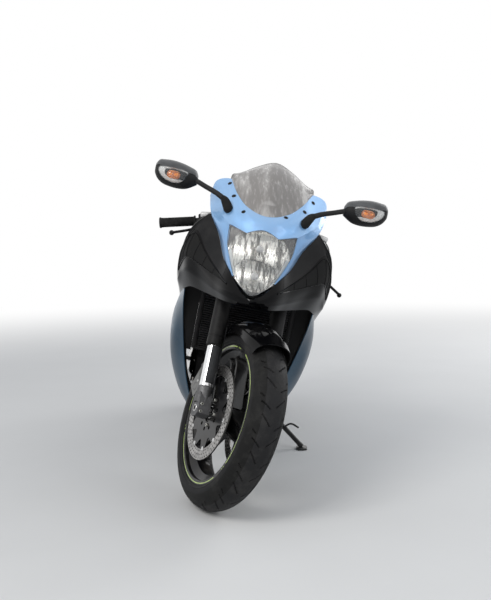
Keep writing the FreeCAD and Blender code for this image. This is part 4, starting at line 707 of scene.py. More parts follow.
floor_finish = Finish("pale_floor", Roughness=0.75, Specular_IOR_Level=0.2)
mottle = floor_finish.noise(3, 5)
floor_finish.set(Base_Color=floor_finish.blend(mottle, (0.74, 0.74, 0.735), (0.70, 0.70, 0.695)))
white = floor_finish.node("Emission", None, {"Color": (1, 1, 1), "Strength": 1.0})
away = floor_finish.node("VectorMath", {"operation": "LENGTH"}, {0: floor_finish.place()}, "Value").between(2.2, 6.5)
mixed = floor_finish.node("MixShader", None, {0: away * floor_finish.background_rays(), 2: white})
floor_finish.tree.links.new(floor_finish.shader.outputs[0], mixed.socket.node.inputs[1])
floor_finish.tree.links.new(mixed.socket, floor_finish.tree.nodes["Material Output"].inputs["Surface"])
bpy.ops.mesh.primitive_plane_add(size=120)
floor = bpy.context.object
floor.name = "floor"
floor.data.materials.append(floor_finish.material)

world = bpy.data.worlds.new("soft_sky")
bpy.context.scene.world = world
world.use_nodes = True
sky = world.node_tree
back = sky.nodes["Background"]


class Sky(Finish):
    """The world's nodes, built the same way as a finish."""
    def __init__(self, tree):
        self.tree = tree


heaven = Sky(sky)
up_way = heaven.node("SeparateXYZ", None, {0: heaven.node("TexCoord", output="Generated")}, "Z")
dome = heaven.node("ValToRGB", {"stops": [(0.0, (0.10, 0.10, 0.10)), (0.47, (0.30, 0.30, 0.30)),
    (0.52, (0.72, 0.74, 0.77)), (0.75, (0.95, 0.97, 1.0)), (1.0, (0.80, 0.86, 0.95))]}, {0: up_way * 0.5 + 0.5})
direct = heaven.background_rays()
heaven.plug(back.inputs["Color"], heaven.blend(direct, dome, (1, 1, 1)))
heaven.plug(back.inputs["Strength"], 0.55 + direct * 0.45)


def soft_lamp(name, place, target, size, power, colour=(1, 1, 1)):
    lamp = bpy.data.lights.new(name, "AREA")
    lamp.energy, lamp.size, lamp.color = power, size, colour
    item = bpy.data.objects.new(name, lamp)
    item.location = place
    item.rotation_euler = (Vector(target) - Vector(place)).to_track_quat("-Z", "Y").to_euler()
    bpy.context.scene.collection.objects.link(item)


soft_lamp("key_light", (-2.6, -3.4, 3.6), (0, -0.2, 0.5), 2.2, 105, (1, 0.985, 0.96))
soft_lamp("fill_light", (3.4, -2.4, 2.4), (0, 0, 0.5), 2.6, 34, (0.95, 0.98, 1))
soft_lamp("back_light", (3.0, 2.8, 2.6), (0, 0.2, 0.6), 2.2, 62)

camera = bpy.data.cameras.new("photo_camera")
camera.sensor_width, camera.lens = 36, 36 * FOCUS / FRAME_HEIGHT
eye = bpy.data.objects.new("photo_camera", camera)
turns = [Matrix.Rotation(math.radians(angle), 3, axis) for angle, axis in ((HEADING, "Z"), (TILT, "X"), (ROLL, "Y"))]
look = turns[0] @ turns[1] @ turns[2]
right, ahead, above = look.col
eye.matrix_world = Matrix.Translation(EYE) @ Matrix((right, above, -ahead)).transposed().to_4x4()
bpy.context.scene.collection.objects.link(eye)
bpy.context.scene.camera = eye
bpy.context.scene.view_settings.view_transform = "Standard"
print("camera lens:", round(camera.lens, 2), "mm")

# %% [markdown]
# ## The nose cowl
# The blue nose wraps round the lamp and carries the screen. Its ribs run from the edge of the lamp or the screen
# outwards, and the folded edge where its top turns down to its side is kept sharp.
# The same points made the engineering solid, so the smooth skin lies on it.

# %% Nose cowl
NOSE = [  # ribs of the left half, from the middle over the lamp and down the side
    [(0, -722, 908.5), (0, -712, 925), (0, -700, 938), (0, -680, 951.6)],
    [(26, -720, 902.5), (34, -706, 928), (50, -685, 945), (68, -640, 971.6)],
    [(51, -719, 890.5), (66, -690, 930), (90, -640, 965), (110, -580, 1009.6)],
    [(80, -706, 899), (102, -662, 943), (122, -600, 985), (140, -500, 1053.6)],
    [(98, -698, 905), (126, -640, 942), (158, -560, 985), (190, -475, 1036)],
    [(111, -691, 907), (142, -642, 928), (174, -575, 955), (199, -500, 985)],
    [(109, -698, 880), (132, -672, 893), (157, -636, 908), (178, -598, 926.5)],
    [(105, -711, 842), (117, -694, 850), (129, -670, 859), (140, -640, 868)],
    [(81, -744, 784), (91, -731, 790), (100, -714, 796), (108, -690, 800)],
    [(66, -765, 753), (69, -762, 753), (71.5, -758, 752.5), (73, -753, 752)],
]
COWL_WALL = 3.5


def edge_screw(piece, at, way):
    """A black button-head screw on its washer."""
    lathe(piece, [(-1, 7.3), (0.8, 7.3), (1.1, 5.5), (2.4, 4.4), (3, 2.475, 6)], black_plastic, at, way, 16)
    # The recess takes the darker inner black: painted shade.
    lathe(piece, [(3, 2.475, 6), (1, 2.475, 6), (1, 0)], inner_plastic, at, way, 16)


def on_surface(grid, target):
    """The point of a fine grid nearest to a target, and the outward normal there."""
    flat, ways = np.asarray(grid).reshape(-1, 3), normals(np.asarray(grid)).reshape(-1, 3)
    near = np.linalg.norm(flat - np.asarray(target, float), axis=1).argmin()
    way = ways[near]
    return flat[near], way if way.dot((0, -1, 0.6)) > 0 else -way


nose_grid = smooth_grid(both_sides(NOSE), 8, 8, sharp_ribs=(4, 7, 11, 14))
nose = Piece("nose_cowl_skin")
panel(nose, nose_grid, COWL_WALL, (0, -300, 850), sky_blue, inner_plastic)
for spot in ((-149, -528, 1041), (-119, -590, 998), (-63, -642, 936), (155, -535, 1034), (124, -596, 992),
        (60, -645, 936)):
    at, way = on_surface(nose_grid, spot)
    edge_screw(nose, at, way)
nose.done("chassis", ["nose_cowl"], "blue_paint", bevel=1.2, smooth=32)

# %% [markdown]
# ## Windscreen
# A thin smoked bubble, wider than it is tall, tucked under the nose's edge. It is one curved sheet, and
# a thin dark tube along its edge gives it a rounded rim.

# %% Windscreen
SCREEN = [
    [(0, -680, 952), (0, -632, 1012), (0, -565, 1072), (0, -490, 1115), (0, -425, 1138)],
    [(68, -640, 972), (71, -592, 1022), (72, -534, 1068), (68, -478, 1098), (60, -430, 1115)],
    [(110, -580, 1010), (113, -547, 1038), (112, -510, 1064), (107, -474, 1083), (98, -440, 1091)],
    [(140, -500, 1054), (140, -488, 1063), (138, -475, 1070), (133, -462, 1074), (125, -450, 1076)],
]
screen_grid = smooth_grid(both_sides(SCREEN), 10, 8)
screen = Piece("windscreen_bubble")
panel(screen, screen_grid, 3, (0, -300, 950), screen_clear)
rim = np.concatenate([screen_grid[0, ::2], screen_grid[1:-1, -1], screen_grid[-1, ::-2]])
tube(screen, rim + (0, 0.8, -0.8), 1.7, screen_edge, 8, 1, smooth=False)
screen.done("chassis", ["windscreen"], "clear", bevel=0.8)

# %% [markdown]
# ## Side and lower cowls
# Gloss black side panels start under the lamp's tip and sweep back over the fork. Two folds run along them.
# Below hang the blue panels, which close under the engine. Left and right are separate mouldings with a seam
# in the middle, so each is its own piece, and the right one is the mirror image of the left.

# %% Side and lower cowls
SIDE = [  # ribs from the nose back, each from the top edge down
    [(0.2, -792, 690), (0.2, -790, 684), (0.2, -785, 678), (0.2, -778, 672), (0.2, -765, 668)],
    [(34, -784, 712), (40, -784, 700), (40, -780, 688), (38, -774, 678), (34, -762, 668)],
    [(66, -766, 750), (70, -768, 722), (70, -766, 702), (67, -760, 684), (60, -750, 668)],
    [(108, -690, 799), (121, -690, 762), (126, -685, 725), (121, -680, 695), (108, -668, 668)],
    [(140, -640, 867), (172, -625, 812), (186, -612, 762), (176, -598, 712), (157, -582, 670)],
    [(177, -600, 926), (214, -588, 866), (232, -572, 795), (226, -550, 728), (203, -515, 672)],
    [(230, -578, 874), (244, -552, 830), (250, -525, 775), (246, -490, 715), (228, -440, 655)],
    [(256, -515, 798), (262, -490, 765), (264, -455, 725), (260, -410, 680), (243, -345, 632)],
    [(262, -420, 758), (266, -395, 735), (268, -360, 700), (265, -315, 662), (252, -260, 612)],
    [(263, -310, 706), (265, -290, 692), (266, -262, 672), (263, -225, 645), (256, -180, 603)],
    [(240, -150, 686), (243, -145, 672), (246, -135, 658), (245, -120, 642), (240, -95, 620)],
]
LOWER = [  # ribs from the front back, each from the seam with the side cowl down to the middle
    [(228, -440, 654.7), (224, -395, 590), (206, -350, 480), (172, -330, 340), (120, -315, 220), (55, -305, 160),
     (0.2, -303, 146)],
    [(243, -345, 631.7), (252, -310, 570), (245, -290, 470), (215, -265, 350), (155, -262, 230), (70, -255, 152),
     (0.2, -255, 134)],
    [(252, -260, 611.7), (264, -240, 540), (258, -225, 440), (228, -210, 330), (165, -200, 220), (75, -195, 150),
     (0.2, -195, 130)],
    [(256, -180, 602.7), (262, -165, 530), (256, -150, 440), (230, -130, 330), (170, -125, 220), (80, -115, 150),
     (0.2, -115, 130)],
    [(240, -95, 619.7), (240, -10, 520), (215, 50, 420), (200, 40, 330), (160, 15, 235), (80, 0, 158),
     (0.2, 0, 136)],
]
side_grid = smooth_grid(SIDE, 6, 6, sharp_lines=(1, 3))
lower_grid = smooth_grid(LOWER, 8, 6)
for side, name in ((1, "left"), (-1, "right")):
    turn = np.array((side, 1, 1))
    cowl = Piece(f"side_cowl_{name}_skin")
    panel(cowl, side_grid * turn, COWL_WALL, (0, -300, 700), gloss_black, inner_plastic)
    out = normals(side_grid)
    out = out if out[30, 12, 0] > 0 else -out
    # A lighter, rougher black sheet over the upper facet, which faces up, is a painted highlight on the gloss black.
    painted_highlight_facet = side_grid[15:43, 0:7] + out[15:43, 0:7] * 0.5
    panel(cowl, painted_highlight_facet * turn, 1, (0, -300, 700), smoke_black)
    duct = []
    for t in np.linspace(0, 1, 15):
        row, reach = 13 + 27 * t, 0.8 + 7.6 * math.sin(t * math.pi * 0.5)
        i = min(int(row), 59)
        line = side_grid[i] * (1 - row + i) + side_grid[i + 1] * (row - i) + out[i] * 0.9
        at = 6.9 + np.linspace(0, 1, 7) * reach
        low = at.astype(int)
        duct.append(line[low] * (1 - (at - low))[:, None] + line[low + 1] * (at - low)[:, None])
    duct = np.array(duct)
    panel(cowl, duct * turn, 1.2, (0, -300, 700), inner_plastic)
    lip = np.concatenate([duct[:, 0], duct[-1, 1:-1], duct[::-1, -1]])
    tube(cowl, lip * turn, 1.7, gloss_black, 8, 1, smooth=False)
    for k in (3, 5, 7, 9, 11, 13):
        tube(cowl, duct[k] * turn, 1.1, gloss_black, 6, 1, smooth=False)
    cowl.done("chassis", [f"side_cowl_{name}"], "black_gloss", bevel=1.2, smooth=24)
    belly = Piece(f"lower_cowl_{name}_skin")
    panel(belly, lower_grid * turn, COWL_WALL, (0, -200, 500), deep_blue, inner_plastic)
    belly.done("chassis", [f"lower_cowl_{name}"], "blue_paint", bevel=1.2, smooth=32)

# %% [markdown]
# ## The headlamp
# Behind a clear lens sit two chrome bowls, one above the other, parted by a curved bar. Their walls are
# fluted from top to bottom so that the light spreads sideways. The bowls are one surface pushed back from the
# lens, deepest round each bulb, with a cosine ripple for the flutes.

# %% Headlamp
LENS = [
    [(0, -722, 908), (0, -748, 850), (0, -768, 800), (0, -784, 750), (0, -789, 705)],
    [(26, -720, 902), (28, -746, 850), (28, -766, 800), (24, -782, 750), (18, -786, 712)],
    [(51, -719, 890), (54, -738, 850), (54, -757, 800), (46, -775, 755), (34, -780, 724)],
    [(82, -705, 900), (84, -722, 850), (80, -742, 805), (66, -762, 765), (50, -772, 737)],
    [(111, -690, 908), (104, -710, 845), (92, -728, 805), (80, -744, 782), (63, -765, 750)],
]
lens_grid = smooth_grid(both_sides(LENS), 6, 8, sharp_ribs=(2, 6))
lens = Piece("headlamp_glass")
panel(lens, lens_grid, 3, (0, 0, 800), lens_clear)
lens.done("chassis", ["headlamp_lens"], "clear", bevel=0.8)

BULBS = ((0, 848), (0, 764))


def bowl_at(x, z):
    """The bowl that a point lies in (2 lower, 1 wide, 0 a plain corner), and its share of the way out."""
    lower, upper = math.hypot(x / 69, (z - 766) / 48), math.hypot(x / 98, (z - 828) / 81)
    return (2, lower) if lower < 1 else (1, upper) if upper < 1 else (0, 1.0)


def bowl_depth(x, z):
    """How far the reflector lies behind the lens."""
    which, share = bowl_at(x, z)
    rim, most = ((7, 0), (17, 42), (9, 34))[which]
    flute = math.cos(x * 2 * math.pi / 9.4) * min(1.0, (1 - share) * 12)
    return rim + most * (1 - share ** 2) + 2.6 * flute


fine_lens = smooth_grid(both_sides(LENS), 30, 24, sharp_ribs=(2, 6))
middle = np.array((0, -745, 815))
bowl_grid = (fine_lens - middle) * (0.955, 1, 0.965) + middle
rear = np.array([[bowl_depth(p[0], p[2]) for p in row] for row in bowl_grid])
edge = np.minimum.reduce([np.minimum(np.arange(bowl_grid.shape[0]), np.arange(bowl_grid.shape[0])[::-1])[:, None]
    + np.zeros(bowl_grid.shape[1]), np.minimum(np.arange(bowl_grid.shape[1]),
    np.arange(bowl_grid.shape[1])[::-1])[None, :] + np.zeros((bowl_grid.shape[0], 1))])
bowl_grid[:, :, 1] += 4.5 + (rear - 4.5) * np.clip(edge / 3, 0, 1)
bowl = Piece("headlamp_reflector")
panel(bowl, bowl_grid, 2, (0, 0, 800), reflector, black_plastic)
flat = bowl_grid.reshape(-1, 3)
plain = [bowl_at(x, z)[0] == 0 for x, y, z in flat]
corners = [face for face in grid_faces(*bowl_grid.shape[:2]) if all(plain[i] for i in face)]
place = {old: new for new, old in enumerate(sorted({i for face in corners for i in face}))}
bowl.add(flat[list(place)] - (0, 0.7, 0), [[place[i] for i in face] for face in corners], lamp_corner)
for bulb_x, bulb_z in BULBS:
    front = -748 - (800 - bulb_z) * 0.4
    lathe(bowl, [(0, 0), (3, 7), (12, 10.5), (22, 10.5), (26, 7.5), (40, 7.5), (40, 0)], bulb_glass,
          (bulb_x, front + 6, bulb_z), BACK, 20)
    lathe(bowl, [(0, 0), (0, 8), (1.5, 11.5), (10, 12), (10, 10.6), (2.5, 10)], steel, (bulb_x, front + 4, bulb_z),
          BACK, 24)
bowl.done("chassis", ["headlamp_bowl"], "reflector", smooth=60)

# %% [markdown]
# ## Tyres
# A tyre is a turned ring whose tread is cut by curved grooves. Each groove is a short list of points
# (share of the pitch, distance across), repeated round the tyre. The grid of the tread is fine enough for a groove
# to be a real channel: each point is sunk according to how far it lies from the nearest groove line.
# The middle of the tread is polished by the road and gets its own finish.

# %% Tyres
def groove_sink(around, across, grooves, pitch, width, depth):
    """How deep each tread point lies below the surface; around and across are in millimetres."""
    sink = np.zeros(around.shape)
    for line in grooves:
        for (u0, v0), (u1, v1) in zip(line, line[1:]):
            for copy in (-1, 0, 1):
                a = np.array(((u0 + copy) * pitch, v0))
                b = np.array(((u1 + copy) * pitch, v1))
                along = b - a
                share = np.clip(((around - a[0]) * along[0] + (across - a[1]) * along[1]) / along.dot(along), 0, 1)
                gap = np.hypot(around - a[0] - share * along[0], across - a[1] - share * along[1])
                sink = np.maximum(sink, np.clip((width - gap) / 1.1 + 0.5, 0, 1) * depth)
    return sink


BEAD = 222  # radius of the rim's seat
PITCHES, STEPS = 16, 44  # repeats of the tread's pattern, and grid rows in each


def tyre(name, place, body, radius, crown, half, rim_half, grooves):
    """A tyre from its outer radius, the crown's radius, and its and its rim's half width."""
    made = Piece(name, place)
    centre = radius - crown
    edge_height = centre + math.sqrt(crown ** 2 - half ** 2)
    width = math.asin(half / crown)
    angles = np.linspace(-width, width, 71)
    tread = [(crown * math.sin(a), centre + crown * math.cos(a)) for a in angles]
    wall = [(half + 0.6, edge_height - 3), (half + 1.6, edge_height - 9), (half + 1.2, edge_height - 15),
            (half + 1.9, edge_height - 16.5), (half + 1.9, edge_height - 18), (half + 0.8, edge_height - 19.5),
            (half * 0.4 + rim_half * 0.6 + 4.5, BEAD + 17), (rim_half + 3.2, BEAD + 12), (rim_half + 2.8, BEAD + 9.5),
            (rim_half + 0.4, BEAD + 8), (rim_half - 4, BEAD + 8), (rim_half - 5, BEAD + 6), (rim_half - 12, BEAD + 9)]
    count = STEPS * PITCHES
    turns = np.arange(count) * 2 * math.pi / count
    pitch = 2 * math.pi * radius / PITCHES
    around = (turns * radius % pitch)[:, None] + np.zeros(len(tread))
    across_now = (angles * crown)[None, :] + np.zeros((count, 1))
    sink = groove_sink(around, across_now, grooves, pitch, 1.15, 5)
    rows = []
    for i, angle in enumerate(turns):
        c, s = math.cos(angle), math.sin(angle)
        row = []
        for (x, r), a, deep in zip(tread, angles, sink[i]):
            row.append((x - deep * math.sin(a), (r - deep * math.cos(a)) * s, (r - deep * math.cos(a)) * c))
        rows.append(row)
    grid = np.array(rows).swapaxes(0, 1)
    size = len(tread)
    faces = grid_faces(size, count, loop=True)
    reach = np.repeat(np.abs(angles[:-1] + angles[1:]) / 2 * crown, count)
    inside = [face for face, far in zip(faces, reach) if far < half * 0.55]
    outside = [face for face, far in zip(faces, reach) if far >= half * 0.55]
    made.add(grid.reshape(-1, 3), outside, tread_rubber)
    made.add(grid.reshape(-1, 3), inside, worn_tread)
    profile = [(half, edge_height)] + wall
    for half_ring in (profile, [(-x, r) for x, r in profile]):
        points = [(x, r * math.sin(a), r * math.cos(a)) for x, r in half_ring for a in turns[::5]]
        made.add(points, grid_faces(len(half_ring), len(turns[::5]), loop=True), wall_rubber)
    lathe(made, [(-(rim_half - 12), BEAD + 9), (0, BEAD + 14), (rim_half - 12, BEAD + 9)], wall_rubber, steps=90)
    return made.done(body, [f"{body.split('_')[0]}_tyre"], "tyre", smooth=28)


FRONT_GROOVES = [[(0.04, 5), (0.16, 18), (0.30, 34)], [(0.54, -5), (0.66, -18), (0.80, -34)],
    [(0.46, 14), (0.56, 28), (0.64, 44)], [(0.96, -14), (1.06, -28), (1.14, -44)], [(0.78, 38), (0.86, 50)],
    [(0.28, -38), (0.36, -50)]]
REAR_GROOVES = [[(0.0, 10), (0.16, 34), (0.30, 60), (0.38, 84)], [(0.5, -10), (0.66, -34), (0.80, -60), (0.88, -84)],
    [(0.44, 30), (0.60, 54), (0.70, 78)], [(0.94, -30), (1.10, -54), (1.20, -78)], [(0.78, 58), (0.88, 82)],
    [(0.28, -58), (0.38, -82)]]
tyre("front_tyre_tread", FRONT, "front_wheel", 300, 61, 58, 52, FRONT_GROOVES)
tyre("rear_tyre_tread", REAR, "rear_wheel", 315, 92, 87, 77, REAR_GROOVES)

# %% [markdown]
# ## Cast wheels
# The black cast wheels have three wide spokes. Each spoke is hollowed along its middle, so two ribs run out to
# the rim and flare into it. The barrel is a turned ring with a drop centre, and a thin lime stripe is painted on
# its lip, worn away in places. The hub carries the disc flanges, bearings and seals.

# %% Wheels
def wheel(name, place, body, rim_half, hub_half, replaced):
    made = Piece(name, place)
    seat = rim_half - 5
    barrel = [(-rim_half, 229), (-rim_half + 1.5, 230.3), (-seat + 1, 229), (-seat, 222.6), (-(seat - 13), 221.6),
        (-(seat - 26), 200), (seat - 26, 200), (seat - 13, 221.6), (seat, 222.6), (seat - 1, 229),
        (rim_half - 1.5, 230.3), (rim_half, 229), (rim_half, 217), (rim_half - 2, 214.6), (seat - 9, 214),
        (seat - 24, 192.6), (0, 191), (-(seat - 24), 192.6), (-(seat - 9), 214), (-rim_half + 2, 214.6),
        (-rim_half, 217)]
    lathe(made, barrel, wheel_black, steps=144, loop=True)
    for side in (-1, 1):
        for first in range(0, 360, 120):
            for low, high in ((8, 108), (111, 112.6), (114, 115.2)):
                lathe(made, [(side * (rim_half + 0.25), 222.5), (side * (rim_half + 0.25), 225.5)], lime,
                      steps=max(2, round((high - low) / 3)), arc=(first + low, first + high))
    sections = []
    for radius, half, thick, web in ((26, 40, 20, 17), (38, 37, 22, 15), (52, 34.5, 22, 12), (72, 32, 21.5, 8.5),
            (110, 28.5, 21.5, 7.5), (150, 25, 22, 7.5), (172, 24, 23, 8.5), (183, 26.5, 26, 13), (193, 34, 32, 22)):
        rib = 9 if radius < 180 else 14
        below = [(half, -thick + 2), (half - 1.5, -thick), (half - rib + 1, -thick), (half - rib - 1.5, -thick + 2),
            (half - rib - 5, -web)]
        below += [(-y, x) for y, x in below[::-1]]
        profile = below + [(-y, -x) for y, x in below]
        sections.append([(x, y, radius) for y, x in profile[-1:] + profile[:-1]])
    sections = refine(sections, 4)
    for turn in range(3):
        angle = turn * 2 * math.pi / 3
        c, s = math.cos(angle), math.sin(angle)
        loft(made, [[(x, y * c - z * s, y * s + z * c) for x, y, z in ring] for ring in sections], wheel_black)
    lathe(made, [(-hub_half, 14), (-hub_half, 50.5), (-hub_half + 1.2, 52), (-hub_half + 8.5, 52),
        (-hub_half + 10, 50.5), (-hub_half + 16, 38), (-24, 36), (24, 36), (hub_half - 16, 38), (hub_half - 10, 50.5),
        (hub_half - 8.5, 52), (hub_half - 1.2, 52), (hub_half, 50.5), (hub_half, 14)], wheel_black, steps=60)
    for side in (-1, 1):
        lathe(made, [(hub_half + 0.3, 27), (hub_half + 0.3, 19.5)], black_rubber, way=(side, 0, 0), steps=36)
        lathe(made, [(hub_half + 0.6, 19.5), (hub_half + 0.6, 12.2)], steel, way=(side, 0, 0), steps=36)
    tube(made, [(seat - 20, 0, 205), (seat - 18, 0, 186), (seat - 16, 4, 168)], 4.2, black_rubber, sides=12)
    lathe(made, solid_of(9, 4.8, 0.8), black_plastic, (seat - 16.3, 4.4, 166), (0.1, 0.2, -1), 14)
    return made.done(body, replaced, "black_metal", bevel=0.8, smooth=34)


wheel("front_wheel_casting", FRONT, "front_wheel", 52, 67, ["front_rim"])
wheel("rear_wheel_casting", REAR, "rear_wheel", 77, 97, ["rear_rim"])

# %% [markdown]
# ## Brake discs
# A disc is a flat ring drilled with staggered rows of holes, riding on a black carrier through round bobbins.
# Cutting two hundred holes would be slow, so the ring is built from small cells instead. Each cell is a
# square with a hole in its middle, bent to its place on the ring, and each row is shifted by half a cell,
# so that corners meet the middles of the edges and no gap opens.

# %% Discs
def drilled_ring(piece, face, thick, radii, count, hole, finish):
    """A flat ring on the X axis with a row of holes between each pair of radii."""
    square = [(1, 0), (1, 1), (0, 1), (-1, 1), (-1, 0), (-1, -1), (0, -1), (1, -1)]
    for row, (inner, outer) in enumerate(zip(radii, radii[1:])):
        middle, half = (inner + outer) / 2, (outer - inner) / 2
        for cell in range(count):
            turn = (cell + 0.5 * (row % 2)) * 2 * math.pi / count
            rim, bore = [], []
            for i, (u, v) in enumerate(square):
                angle, radius = turn + u * math.pi / count, middle + v * half
                rim.append(polar(radius, angle))
                way = i * math.pi / 4
                angle, radius = turn + math.cos(way) * hole / middle, middle + math.sin(way) * hole
                bore.append(polar(radius, angle))
            points = [(x, y, z) for x in (face, face + thick) for ring in (rim, bore) for y, z in ring]
            faces = []
            for i in range(8):
                k = (i + 1) % 8
                faces += [[i, k, 8 + k, 8 + i], [16 + k, 16 + i, 24 + i, 24 + k], [8 + i, 8 + k, 24 + k, 24 + i]]
            if row == 0:
                faces += [[5, 6, 22, 21], [6, 7, 23, 22]]
            if row == len(radii) - 2:
                faces += [[1, 2, 18, 17], [2, 3, 19, 18]]
            piece.add(points, faces, finish)


def disc(name, place, body, face, outer, inner, carrier, count, bobbins, node):
    """A disc on one side of a wheel, its carrier's arms, its bobbins and its bolts."""
    made = Piece(name, place)
    side = 1 if face > 0 else -1
    thick = 5 * side
    step = (outer - inner) / 3
    drilled_ring(made, face, thick, [inner, inner + step, inner + 2 * step, outer], count, 2.9, disc_steel)
    turns = [i * 2 * math.pi / bobbins for i in range(bobbins)]
    arms = [polar(radius, (i + share) * 2 * math.pi / bobbins) for i in range(bobbins) for share, radius in
            ((-0.42, carrier - 20), (-0.20, inner - 3), (0.20, inner - 3), (0.42, carrier - 20))]
    windows = [circle(*polar(56, (i + 0.5) * 2 * math.pi / bobbins), 6.5, 12)
        for i in range(bobbins if carrier > 90 else 0)]
    slab(made, arms, face + thick * 0.12, face + thick * 0.88, wheel_black, holes=[circle(0, 0, 33, 36), *windows])
    for angle in turns:
        lathe(made, [(0, 0), (0, 3.4), (0.6, 7.2), (5.6, 7.2), (6.2, 3.4), (6.2, 0)], steel,
              (face + thick * 1.12, *polar(inner - 1, angle)), (-side, 0, 0), 18)
    bolts = 5 if carrier > 80 else 4
    for i in range(bolts):
        bolt(made, (face + thick, *polar(43, (i + 0.5) * 2 * math.pi / bolts)), (side, 0, 0), 5.5, zinc, 4.5,
            black_cast)
    made.done(body, [node], "steel", smooth=40)


disc("front_brake_discs", FRONT, "front_wheel", 67, 155, 120, 112, 60, 10, "front_discs")
disc("front_brake_disc_right", FRONT, "front_wheel", -67, 155, 120, 112, 60, 10, "front_discs")
disc("rear_brake_disc", REAR, "rear_wheel", -97, 110, 80, 76, 46, 6, "rear_disc")

# %% [markdown]
# ## The fork
# An upside-down fork: black outer tubes held in two yokes, bright stanchions below them, and a cast foot on each
# that carries the axle and the brake caliper. The outer tubes are turned: a thick collar at the bottom holds
# the dust seal, and a hexagon cap with its adjusting screw closes the top.

# %% Fork
LEG = (104, -32, 0)  # left and back of the steering axis, in the fork's axes
AXLE = -560.5  # how far the axle lies along it
tubes = Piece("fork_outer_tubes", FORK)
lathe(tubes, [(-348, 21.4), (-348, 26), (-347, 27), (-322, 27), (-321, 25.6), (-317, 25.6), (-316, 26.6),
    (-100, 26.6), (126.5, 26.6), (128, 25), (128, 20)], black_cast, LEG, UP, 48, True)
lathe(tubes, [(127.6, 25), (127.6, 21.5), (124, 21), (124, 17, 6), (127.8, 17, 6), (127.8, 9)], black_cast, LEG,
      UP, 36, True)
lathe(tubes, [(127.8, 9), (127.9, 7.5), (123, 7), (123, 0)], gold_metal, LEG, UP, 30, True)
lathe(tubes, [(-352, 21.1), (-352, 23.6), (-350.5, 25), (-348, 25)], black_rubber, LEG, UP, 40, True)
tubes.done("steering", ["fork_tubes"], "black_metal", bevel=0.4)

sliders = Piece("fork_sliders", FORK)
lathe(sliders, [(AXLE + 30, 20.9), (-346, 20.9)], hard_chrome, LEG, UP, 48, True)
lathe(sliders, [(AXLE + 74, 21), (AXLE + 74, 23.5), (AXLE + 72, 25), (AXLE + 62, 25.5), (AXLE + 56, 24.5),
    (AXLE + 20, 26)], grey_cast, LEG, UP, 40, True)
slab(sliders, [(-58.5, AXLE + 4), (-57, AXLE + 34), (-50, AXLE + 52), (-14, AXLE + 52), (-7, AXLE + 34),
    (-5, AXLE + 4), (-8, AXLE - 17), (-20, AXLE - 26), (-44, AXLE - 26), (-56, AXLE - 17)], 83, 125, grey_cast,
    mirror=True, holes=[circle(-32, AXLE, 12.1, 24)])
slab(sliders, [(-48, AXLE + 62), (-50, AXLE + 118), (-44, AXLE + 146), (-6, AXLE + 166), (22, AXLE + 175),
    (52, AXLE + 161), (30, AXLE + 134), (9.5, AXLE + 113.3), (-4, AXLE + 88), (-14, AXLE + 62)], 84.5, 99.5,
    grey_cast, mirror=True, holes=[circle(-30, AXLE + 108, 7, 14), circle(2, AXLE + 138, 10, 16)])
for y, z in ((44, AXLE + 158), (16, AXLE + 119)):
    way = np.array((0, 0.669, -0.743))
    bolt(sliders, np.array((92, y, z)) + way * -15, -way, 7.5, zinc, 6, black_cast, True)
for z in (AXLE - 19, AXLE + 19):
    bolt(sliders, (115, -57.5, z * 0.62 + AXLE * 0.38), AHEAD, 5, zinc, 4.5, black_cast, True)
sliders.done("steering", ["fork_lowers"], "alloy", bevel=1.4)

axle = Piece("front_axle_parts", FORK)
lathe(axle, [(-126, 8), (-126, 11), (-125, 11.9), (125, 11.9), (126, 11), (126, 8.6, 6), (112, 8.6, 6), (112, 0)],
    steel, (0, -32, AXLE), LEFT, 36)
lathe(axle, [(-126.2, 0), (-126.2, 7.8), (-118, 7.8)], black_cast, (0, -32, AXLE), LEFT, 30)
lathe(axle, [(67.6, 12), (67.6, 17), (68.6, 18), (81, 18), (82, 17), (82, 12)], steel, (0, -32, AXLE), LEFT, 36,
    True)
axle.done("steering", ["front_axle"], "steel", bevel=0.3)

# %% [markdown]
# ## Front calipers
# Each caliper is a two-part casting that straddles its disc, bolted radially to the fork foot. Four round
# piston caps stand out of its outer face, a pin holds the pads, and a bleed nipple with a rubber cap sits on top.

# %% Front calipers
calipers = Piece("front_caliper_pair", FORK)
OUTER = [(11, AXLE + 114), (47, AXLE + 157.5), (53, AXLE + 160), (59, AXLE + 155.5), (112, AXLE + 107.5),
    (118, AXLE + 101), (116, AXLE + 95), (80, AXLE + 55), (74, AXLE + 53.5), (67, AXLE + 58)]
slab(calipers, OUTER, 77, 93, caliper_grey, mirror=True)
slab(calipers, [(a * 0.94 + 3.9, (z - AXLE) * 0.94 + 6 + AXLE) for a, z in OUTER], 93, 96, caliper_grey, mirror=True)
slab(calipers, OUTER, 54.5, 62, caliper_grey, mirror=True)
slab(calipers, [(52, AXLE + 160), (57.5, AXLE + 156.5), (112, AXLE + 107.5), (117.5, AXLE + 102),
    (109.8, AXLE + 90.5), (43, AXLE + 150.5)], 61, 78, caliper_grey, mirror=True)
for y, z in ((42, AXLE + 122), (76, AXLE + 92)):
    lathe(calipers, [(0, 15.5), (2.2, 15.5), (3.2, 14.5), (3.2, 12), (2.2, 11), (2.2, 0)], grey_cast, (93.5, y, z),
          LEFT, 30, True)
bolt(calipers, (92, 64, AXLE + 108), LEFT, 4.5, steel, 4.6, black_cast, True)
lathe(calipers, [(0, 5, 6), (5, 5, 6), (5, 3.6), (12, 3.2), (12, 0)], steel, (86, 52, AXLE + 157), (0, -0.2, 1), 18,
    True)
lathe(calipers, [(8, 0), (8, 4.4), (15, 4.2), (17, 2.5), (17, 0)], black_rubber, (86, 52, AXLE + 157), (0, -0.2, 1),
    16, True)
for x in (63.5, 73.6):
    slab(calipers, [(20, AXLE + 112), (50, AXLE + 146), (94, AXLE + 106), (64, AXLE + 73)], x, x + 3.2, black_cast,
         mirror=True)
